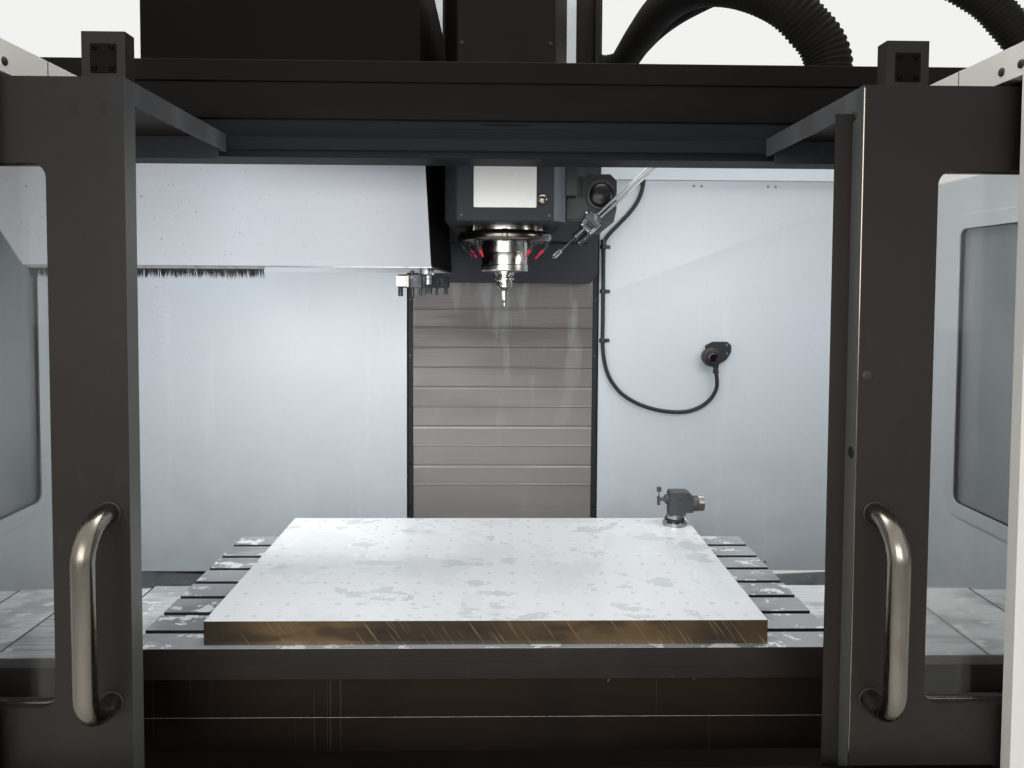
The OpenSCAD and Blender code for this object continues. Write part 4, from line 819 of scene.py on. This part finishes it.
addPiece("spigotKnuckle", knuckle, "spigot", "blackenedSteel", bevel=1.6)
hub = turned([(20, 0), (22, 2), (22, 30), (20, 32)], pivot + [0, -20, 0], (0, 1, 0), 36)
addPiece("spigotHub", hub, "spigot", "blackenedSteel", hides=("spigot",), angle=40)
clampScrews = [spigotPoint(s, w, -24.0) for s, w in ((-35, -16), (-35, 20), (-2, -34))]
addPiece("spigotScrews", screws(clampScrews, (0, -1, 0), 6.5, 2.5), "spigot", "platedMetal")
# the drive's round cap: a rim and a black dome in it
capPlace = (296, -436, 2001)
capRim = lathe([(46, 0), (46, 4), (43, 5.5), (39, 5.5), (37, 4), (37, 0)], capPlace, (0, -1, 0), 56)
capDome = lathe([(0.01, 12), (10, 11.6), (24, 9), (34, 4.5), (37, 0), (0.01, 0)], capPlace, (0, -1, 0), 56)
addPiece("driveRim", capRim, "head", "blackPolyamide", angle=30)
addPiece("driveDome", capDome, "head", "domePlastic", angle=60)
sidePlate = [(189, 1925), (189, 1985), (198, 2014), (246, 1988), (256, 1960), (250, 1925)]
addPiece("drivePlate", prism(sidePlate, -442, -436.5, "Y"), "head", "blackPolyamide", bevel=1.0)
print("head dressed")

# Conduit from the gland to the receiver: spiral hose, its ridges drawn 12 mm apart so that they show
conduit = {"radius": 9.0, "ridge": 0.7, "pitch": 12.0}
route = [(x, 516, z) for x, z in ((617, 2194.8), (617, 2165), (606, 2124), (586, 2085), (553, 2042),
    (518, 2005), (486, 1972), (461, 1943), (449, 1922), (446, 1910), (446, 1800), (446, 1720), (446, 1640),
    (446, 1560), (446, 1460), (456, 1380), (480, 1310), (530, 1245), (600, 1200), (680, 1172),
    (760, 1160))] + [(830, 514, 1163), (890, 508, 1186), (932, 498, 1225), (952, 488, 1270), (952, 481, 1310),
    (947, 478, 1340), (945, 478, 1352), (945, 478, 1362)]
curve, even = evenPath(route, 6, conduit["pitch"] / 4)
ridges = conduit["radius"] + conduit["ridge"] * (np.cos(even / conduit["pitch"] * 2 * math.pi) - 0.5)
addPiece("conduit", hose(curve, ridges, 12), "frame", "blackRubber", hides=("receiver_conduit",), angle=70)
glandNuts = [turned([(14, 0), (14, 9), (12, 11), (12, 20)], place, direction, 6) for place, direction in
    (((617, 516, 2194.8), (0, 0, -1)), ((446, 516, 1930), (0, 0, -1)), ((945, 478, 1340), (0, 0, 1)))]
clipHeights = (1480, 1700, 1898)
clips = [lathe([(9.5, -9), (15, -9), (15.5, -7), (15.5, 7), (15, 9), (9.5, 9)], (446, 516, z), sides=24)
    for z in clipHeights]
clips.append(blocks(*((446, 478, 524, 531, z - 8, z + 8) for z in clipHeights)))
addPiece("conduitGlands", glandNuts + clips, "frame", "blackPolyamide", bevel=0.8)

# Receiver: round housing with a dark window in its face and three light guides, on a plate with a cut corner
receiver = np.array([924.0, 452.0, 1412.0])
housing = turned([(36, 48), (40, 45), (41, 40), (41, 6), (39, 2), (33, 0), (30, 0), (29, 2), (29, -5),
    (27, -7), (24, -7.4), (23, -6)], receiver, (0, 1, 0), 56)
plateOutline = [(904, 1372), (956, 1372), (1000, 1398), (1020, 1432), (1020, 1462), (1002, 1478), (936, 1478),
    (904, 1462)]
bracket = prism(plateOutline, 500, 506, "Y")
posts = [peg(7, 25, (944, 505, z), (0, 1, 0), 16) for z in (1407, 1457)]
neck = peg(12, 30, (945, 478, 1362), sides=20)
addPiece("receiver", [housing, bracket, *posts, neck], "frame", "blackPolyamide", hides=("probe_receiver",),
    bevel=0.6, segments=1, angle=40)
addPiece("receiverWindow", lathe([(0.01, -7.2), (14, -6.9), (22, -6), (22.6, -5), (0.01, -5)], receiver,
    (0, 1, 0), 40), "frame", "screenGlass", angle=60)
guides = [lathe([(0.01, 0), (2.6, 0), (2.6, 1.2), (0.01, 1.6)], receiver + [17 * math.cos(a), -6.6,
    17 * math.sin(a)], (0, -1, 0), 10) for a in np.radians([90, 200, 340])]
addPiece("receiverLights", guides, "frame", "redAcetal")
addPiece("receiverScrews", screws([(1000, 500, 1462), (1000, 500, 1425), (925, 500, 1384)], (0, -1, 0), 10, 5),
    "frame", "platedMetal")

# Back wall: stamped blanking caps, a lapped seam and its screw pairs
wallFace = 530.0
caps = [lathe([(41, 0), (42, 1.6), (45.5, 1.6), (46.5, 0)], (x, wallFace, z), (0, -1, 0), 48) for x, z in
    ((-1521, 1668), (-1521, 1547), (-1521, 1422), (-1369, 1422))]
seams = blocks((-1789, -1352, 528.8, 530.5, 2183, 2206), (432, 1789, 503.2, 504.2, 2195.5, 2199))
addPiece("wallCaps", caps, "frame", "paleEnamel", angle=60)
addPiece("wallSeams", seams, "frame", "paleEnamel", bevel=0.5)
wallScrews = [(x, wallFace, z) for x, z in ((850, 2172), (884, 2172), (1182, 2172), (1216, 2172),
    (1500, 2172), (1534, 2172), (-1500, 2172), (-1534, 2172), (1650, 900), (1650, 1500), (-1650, 900),
    (-1650, 1500), (-1200, 470), (1200, 470))]
addPiece("wallScrews", screws(wallScrews, (0, -1, 0), 12, 4), "frame", "platedMetal")

# Side windows: pale pressed frames with rubber round the glass, inside and out
sideWindow = {"y": -400.0, "z": 1415.0, "width": 1100.0, "height": 1130.0, "radius": 58.0}
for side, label in ((-1, "left"), (1, "right")):
    for part, x, width, deep, finish, grow in (("Frame", 1788.5, 27, 2.5, "paleEnamel", 0),
            ("Seal", 1800, 9, 6, "blackRubber", -38), ("OuterFrame", 1851, 27, 1.5, "creamEnamel", 0)):
        flat = roundedLoop(sideWindow["width"] + grow, sideWindow["height"] + grow,
            sideWindow["radius"] + grow / 2, 9) + [sideWindow["y"], sideWindow["z"]]
        edge = [(-width, -deep), (width, -deep), (width, deep), (-width, deep)]
        addPiece(label + "Window" + part, swept(np.insert(flat, 0, side * x, axis=1), edge, loop=True,
            reference=(1, 0, 0)), "frame", finish, bevel=1.2)

# Fixture plate: the holes stand full of coolant to just under the top
plate = {"x": -682.0, "y": -1031.0, "width": 1286.0, "depth": 711.0, "pitch": 60.0, "top": 955.0, "hole": 6.0}
columns, rows = int((plate["width"] - 60) // plate["pitch"]), int((plate["depth"] - 50) // plate["pitch"])
holeX = plate["x"] + (plate["width"] - columns * plate["pitch"]) / 2 + np.arange(columns + 1) * plate["pitch"]
holeY = plate["y"] + (plate["depth"] - rows * plate["pitch"]) / 2 + np.arange(rows + 1) * plate["pitch"]
places = np.stack(np.meshgrid(holeX, holeY, [plate["top"] - 2.3]), -1).reshape(-1, 3)
fill = lathe([(0.01, 0), (plate["hole"] - 0.05, 0), (plate["hole"] - 0.05, 2.2), (0.01, 1.9)], sides=14)
addPiece("holeCoolant", repeated(fill, places), "table", "milkyCoolant")

# Tool setter: cast body on a ground foot, a barrel with a knurled end, and a stem with two cubes at the left
setter = {"x": 552.0, "y": -380.0, "foot": 955.0, "bodyHalf": 24.0, "barrelZ": 1023.0}
bodyOutline = [(531, 990), (582, 990), (582, 999), (606, 999), (606, 1047), (598, 1060), (590, 1064),
    (536, 1064), (531, 1058)]
barrel = turned([(24, 0), (24.5, 1), (24.5, 20), (23, 21)], (605, setter["y"], setter["barrelZ"]),
    (1, 0, 0), 40)
cap = turned([(15.5, 0), (15.5, 3), (14, 4), (15.5, 5), (15.5, 10), (12, 13), (7, 18), (4, 30)],
    (532, setter["y"], 1037), (-1, 0, 0), 32)
stem = turned([(4.4, 0), (5, 3), (2, 12), (1.6, 44)], (500, setter["y"], 1018), sides=12)
cubes = blocks((494, 507, -386, -374, 1062, 1076), (495, 504, -385, -375, 1018, 1046))
setterParts = [prism(bodyOutline, setter["y"] - setter["bodyHalf"], setter["y"] + setter["bodyHalf"], "Y"),
    barrel, cap, stem, cubes]
addPiece("setterBody", setterParts, "table", "castingPaint", hides=("tool_setter",), bevel=1.4, angle=40)
addPiece("setterFoot", turned([(37.5, 0), (37.5, 10), (36, 12), (30, 13), (29, 22), (27, 23), (27, 31),
    (24, 36)], (setter["x"], setter["y"], setter["foot"]), sides=56), "table", "platedMetal", angle=30)
addPiece("setterCollar", lathe([(30.2, 0), (30.6, 1), (30.6, 9), (28, 10), (26, 10), (26, 0)],
    (setter["x"], setter["y"], setter["foot"] + 13), sides=48), "table", "blackRubber", angle=30)
knurl = (23.5 + 0.9 * (np.arange(80) % 2))[:, None] * circle(1.0, 80)
addPiece("setterKnurl", swept([(x, setter["y"], setter["barrelZ"]) for x in (625.5, 634, 643)], knurl,
    reference=(0, 0, 1)), "table", "satinStainless", bevel=0.4, segments=1)
bodyRing = lathe([(3.6, 0), (5.4, 0), (5.4, 1.4), (3.6, 1.4)], (566, setter["y"] - setter["bodyHalf"], 1034),
    (0, -1, 0), 24)
footScrews = aroundAxis((setter["x"], setter["y"], setter["foot"] + 11.5), 32,
    [20, 80, 140, 200, 250, 290, 340])
addPiece("setterRing", [bodyRing, screws(footScrews, (0, 0, 1), 7, 4)], "table", "platedMetal")

# Cable ducts that arch from the column to the header, ridged all along: radius + depth where the ridge stands
ducts = {
    "cableDuct": (61.0, 15.0, 4.0, [(871, -696, 2276.2), (871, -696, 2327), (855, -694, 2375),
        (822, -690, 2420), (752, -674, 2495), (660, -586, 2575), (590, -396, 2650), (556, -96, 2705),
        (546, 204, 2725), (544, 454, 2736), (542, 600, 2740), (533, 650, 2740), (510, 685, 2740),
        (476, 700, 2740), (446.2, 700, 2740)]),
    "hoseDuct": (43.5, 12.0, 3.0, [(1330, -820, 2259.2), (1330, -820, 2290), (1322, -818, 2330),
        (1270, -812, 2400), (1206, -800, 2466), (1090, -740, 2556), (930, -580, 2640), (770, -300, 2712),
        (680, 0, 2756), (630, 300, 2786), (606, 600, 2800), (600, 760, 2806), (584, 820, 2806),
        (540, 864, 2806), (490, 880, 2806), (446.2, 880, 2806)]),
}
for name, (radius, pitch, deep, route) in ducts.items():
    curve, _ = evenPath(route, 8, pitch / 4)
    width = radius - deep * (np.arange(len(curve)) // 2 % 2)
    addPiece(name, hose(curve, width, 20, reference=(1, 0.2, 0.1)), "frame", "ductPlastic",
        hides=("cable_ducts",) if name == "cableDuct" else (), angle=50)
addPiece("ductFoot", blocks((796, 946, -759.8, -626, 2262, 2276)), "frame", "blackPolyamide", bevel=2.0)

# Header: the latch keeper's plate with its slit, between the doors
addPiece("headerPlate", blocks((-262, 170, -869.6, -867.5, 2101, 2119)), "frame", "slateEnamel", bevel=0.6)
# the slit is a black strip on the plate: painted shade in place of an opening
addPiece("headerSlit", blocks((-61, 56, -870.2, -869.4, 2109.5, 2114)), "frame", "blackPaint")
# Cabinet: louvres with pressed hoods and the lock's round plate
louvre = {"face": 1577.5, "width": 190.0, "low": 760.0, "high": 1000.0, "pitch": 24.0}
hood = np.array([(0, 0), (12.5, -5), (12.5, -17), (10, -17), (0, -8)])
louvres = [prism(hood + [louvre["face"], z], x0, x0 + louvre["width"], "X") for x0 in (-600, -370)
    for z in np.arange(louvre["low"], louvre["high"], louvre["pitch"])]
addPiece("cabinetLouvres", louvres, "cabinet_door", "creamEnamel", bevel=0.8)
lock = turned([(26, 0), (26, 3), (22, 6), (12, 6.5)], (620, louvre["face"], 1250), (0, 1, 0), 40)
addPiece("cabinetLock", lock, "cabinet_door", "platedMetal")

# Pendant: bezel round the screen, a mushroom button on its yellow ring, and the knurled dial with its grip
desk = {"face": -1576.0, "knobX": 1675.0, "buttonZ": 1520.0, "dialZ": 1420.0,
    "screen": (1328, 1612, 1378, 1602)}
x0, x1, z0, z1 = desk["screen"]
frameLine = [(x, desk["face"] - 0.5, z) for x, z in ((x0, z0), (x1, z0), (x1, z1), (x0, z1))]
addPiece("pendantBezel", swept(frameLine, circle(3.5, 8), loop=True), "pendant", "castingPaint", angle=50)
button, dial = ((desk["knobX"], desk["face"], desk[key]) for key in ("buttonZ", "dialZ"))
addPiece("stopRing", lathe([(23, 0), (33, 0), (33, 1.5), (31, 2.5), (23, 2.5)], button, (0, -1, 0), 56),
    "pendant", "yellowPlastic", angle=40)
addPiece("stopMushroom", lathe([(0.01, -16), (14, -16), (14, 8), (19, 8.5), (22, 11), (22, 17), (20, 21),
    (13, 23.6), (0.01, 24)], button, (0, -1, 0), 56), "stop_button", "redAcetal", hides=("stop_button",),
    angle=40)
step = np.arange(144)
knurl = (30.4 + 0.6 * (step // 2 % 2))[:, None] * circle(1.0, 144) + [desk["knobX"], desk["dialZ"]]
dialParts = [prism(knurl, desk["face"] - 13, desk["face"] - 1.5, "Y"),
    lathe([(0.01, 0), (27, 0), (26, 2.5), (22, 3), (0.01, 2.2)], np.add(dial, (0, -13, 0)), (0, -1, 0), 56),
    turned([(5, -24), (5, 3)], dial, (0, -1, 0), 24)]
addPiece("jogKnob", dialParts, "jog_dial", "blackPolyamide", hides=("jog_dial",), angle=40)
addPiece("jogGrip", lathe([(0.01, 0), (5.5, 0), (5, 2), (0.01, 3)], (desk["knobX"] + 17, desk["face"] - 15.5,
    desk["dialZ"] + 4), (0, -1, 0), 24), "jog_dial", "satinStainless", angle=40)

# Table: the wet lower edge of its front, drawn as a bright plated strip: a painted highlight
addPiece("tableDripEdge", blocks((-849.5, 775.5, -1187.8, -1186.9, 828.1, 829.4)), "table", "platedMetal",
    bevel=0.3)

# Tank pumps: the fins of their motors, and a bolted foot each
pump = {"y": 900.0, "low": 525.0, "fins": 27, "pitch": 7.5, "valley": 75.5, "crest": 79.0}
fins = [(pump["valley"] if i % 2 else pump["crest"], 30 + i * pump["pitch"] + rise)
    for i in range(pump["fins"]) for rise in (0, 4)]
pumpShapes, pumpFeet = [], []
for x in (-1550, -1250, -950):
    pumpShapes.append(lathe([(75.4, 12), *fins, (78, 240), (78, 262), (75.4, 262)],
        (x, pump["y"], pump["low"]), sides=48))
    pumpFeet.append(lathe([(76, 0), (98, 0), (98, 12), (96, 14), (76, 14)], (x, pump["y"], pump["low"] + 0.5),
        sides=40))
    pumpFeet.append(screws(aroundAxis((x, pump["y"], pump["low"] + 14), 88, [0, 60, 120, 180, 240, 300]),
        (0, 0, 1), 6, 4))
addPiece("pumpFins", pumpShapes, "frame", "castingPaint", angle=30)
addPiece("pumpFeet", pumpFeet, "frame", "platedMetal", angle=40)
print("work space dressed")

# Stage: floor, lamps and the camera at the photo's viewpoint
floor = bpy.data.meshes.new("floor")
floor.from_pydata([(-30, -30, 0), (30, -30, 0), (30, 30, 0), (-30, 30, 0)], [], [(0, 1, 2, 3)])
floorObject = bpy.data.objects.new("floor", floor)
bpy.context.scene.collection.objects.link(floorObject)
floor.materials.append(makeFinish("paintedConcrete", "#dcdcda", 0.6, layers=[
    pattern(2, 4, (0.4, 0.8), "#d2d2d0", 0.5)]))

lamps = {  # place, point aimed at, width and depth in metres, watts
    "topLamp": ((0.0, -0.35, 4.2), (0.0, -0.35, 0.0), (3.2, 1.8), 80.0),
    "frontLamp": ((-0.5, -4.6, 2.3), (0.0, -0.6, 1.4), (3.4, 1.6), 80.0),
    "doorwayLamp": ((-0.78, -1.24, 1.5), (-0.68, 0.4, 1.4), (2.3, 0.5), 8.5),
    "workLampLeft": ((-0.95, -0.55, 1.42), (-0.92, 0.5, 1.05), (1.3, 0.3), 8.0),
    "workLampRight": ((1.05, -0.62, 1.95), (0.95, 0.45, 0.9), (1.0, 0.3), 7.5),
    "backLamp": ((1.5, 5.0, 3.6), (0.0, 1.0, 1.2), (3.4, 2.4), 90.0),
}
for name, (place, aim, size, power) in lamps.items():
    lamp = bpy.data.lights.new(name, "AREA")
    lamp.shape, lamp.size, lamp.size_y, lamp.energy = "RECTANGLE", size[0], size[1], power
    lampObject = bpy.data.objects.new(name, lamp)
    lampObject.location = place
    aimVector = [b - a for a, b in zip(place, aim)]
    lampObject.rotation_euler = Vector(aimVector).to_track_quat("-Z", "Y").to_euler()
    lampObject.visible_camera = lampObject.visible_transmission = False
    bpy.context.scene.collection.objects.link(lampObject)

world = bpy.data.worlds.new("studio")
bpy.context.scene.world = world
world.use_nodes = True
tree = world.node_tree
tree.nodes.clear()
path = addNode(tree, "ShaderNodeLightPath")
seen = addNode(tree, "ShaderNodeMath", {0: path.outputs["Is Camera Ray"],
    1: path.outputs["Is Transmission Ray"]}, operation="MAXIMUM")
seen = addNode(tree, "ShaderNodeMath", {0: seen.outputs[0], 1: path.outputs["Is Glossy Ray"]},
    operation="MAXIMUM")
strength = addNode(tree, "ShaderNodeMapRange", {0: seen.outputs[0], 1: 0.0, 2: 1.0, 3: 0.45, 4: 1.0})
background = addNode(tree, "ShaderNodeBackground", {"Color": linear("#f2f2f0"),
    "Strength": strength.outputs[0]})
tree.links.new(background.outputs[0], addNode(tree, "ShaderNodeOutputWorld").inputs[0])

view = {"place": (-0.0151, -2.6, 1.7143), "yaw": 0.0176, "pitch": 0.0377, "roll": 0.0056, "focal": 24.6,
    "shiftY": -0.0683}
camera = bpy.data.cameras.new("camera")
camera.lens, camera.sensor_width, camera.shift_y = view["focal"], 36.0, view["shiftY"]
cameraObject = bpy.data.objects.new("camera", camera)
yaw, pitch, roll = view["yaw"], view["pitch"], view["roll"]
forward = np.array([math.sin(yaw) * math.cos(pitch), math.cos(yaw) * math.cos(pitch), -math.sin(pitch)])
level = np.array([math.cos(yaw), -math.sin(yaw), 0.0])
upright = np.cross(level, forward)
right = level * math.cos(roll) + upright * math.sin(roll)
above = upright * math.cos(roll) - level * math.sin(roll)
cameraObject.matrix_world = Matrix(
    [[right[i], above[i], -forward[i], view["place"][i]] for i in range(3)] + [[0, 0, 0, 1]])
bpy.context.scene.collection.objects.link(cameraObject)
bpy.context.scene.camera = cameraObject
bpy.context.scene.view_settings.view_transform = "Standard"
print("stage set")
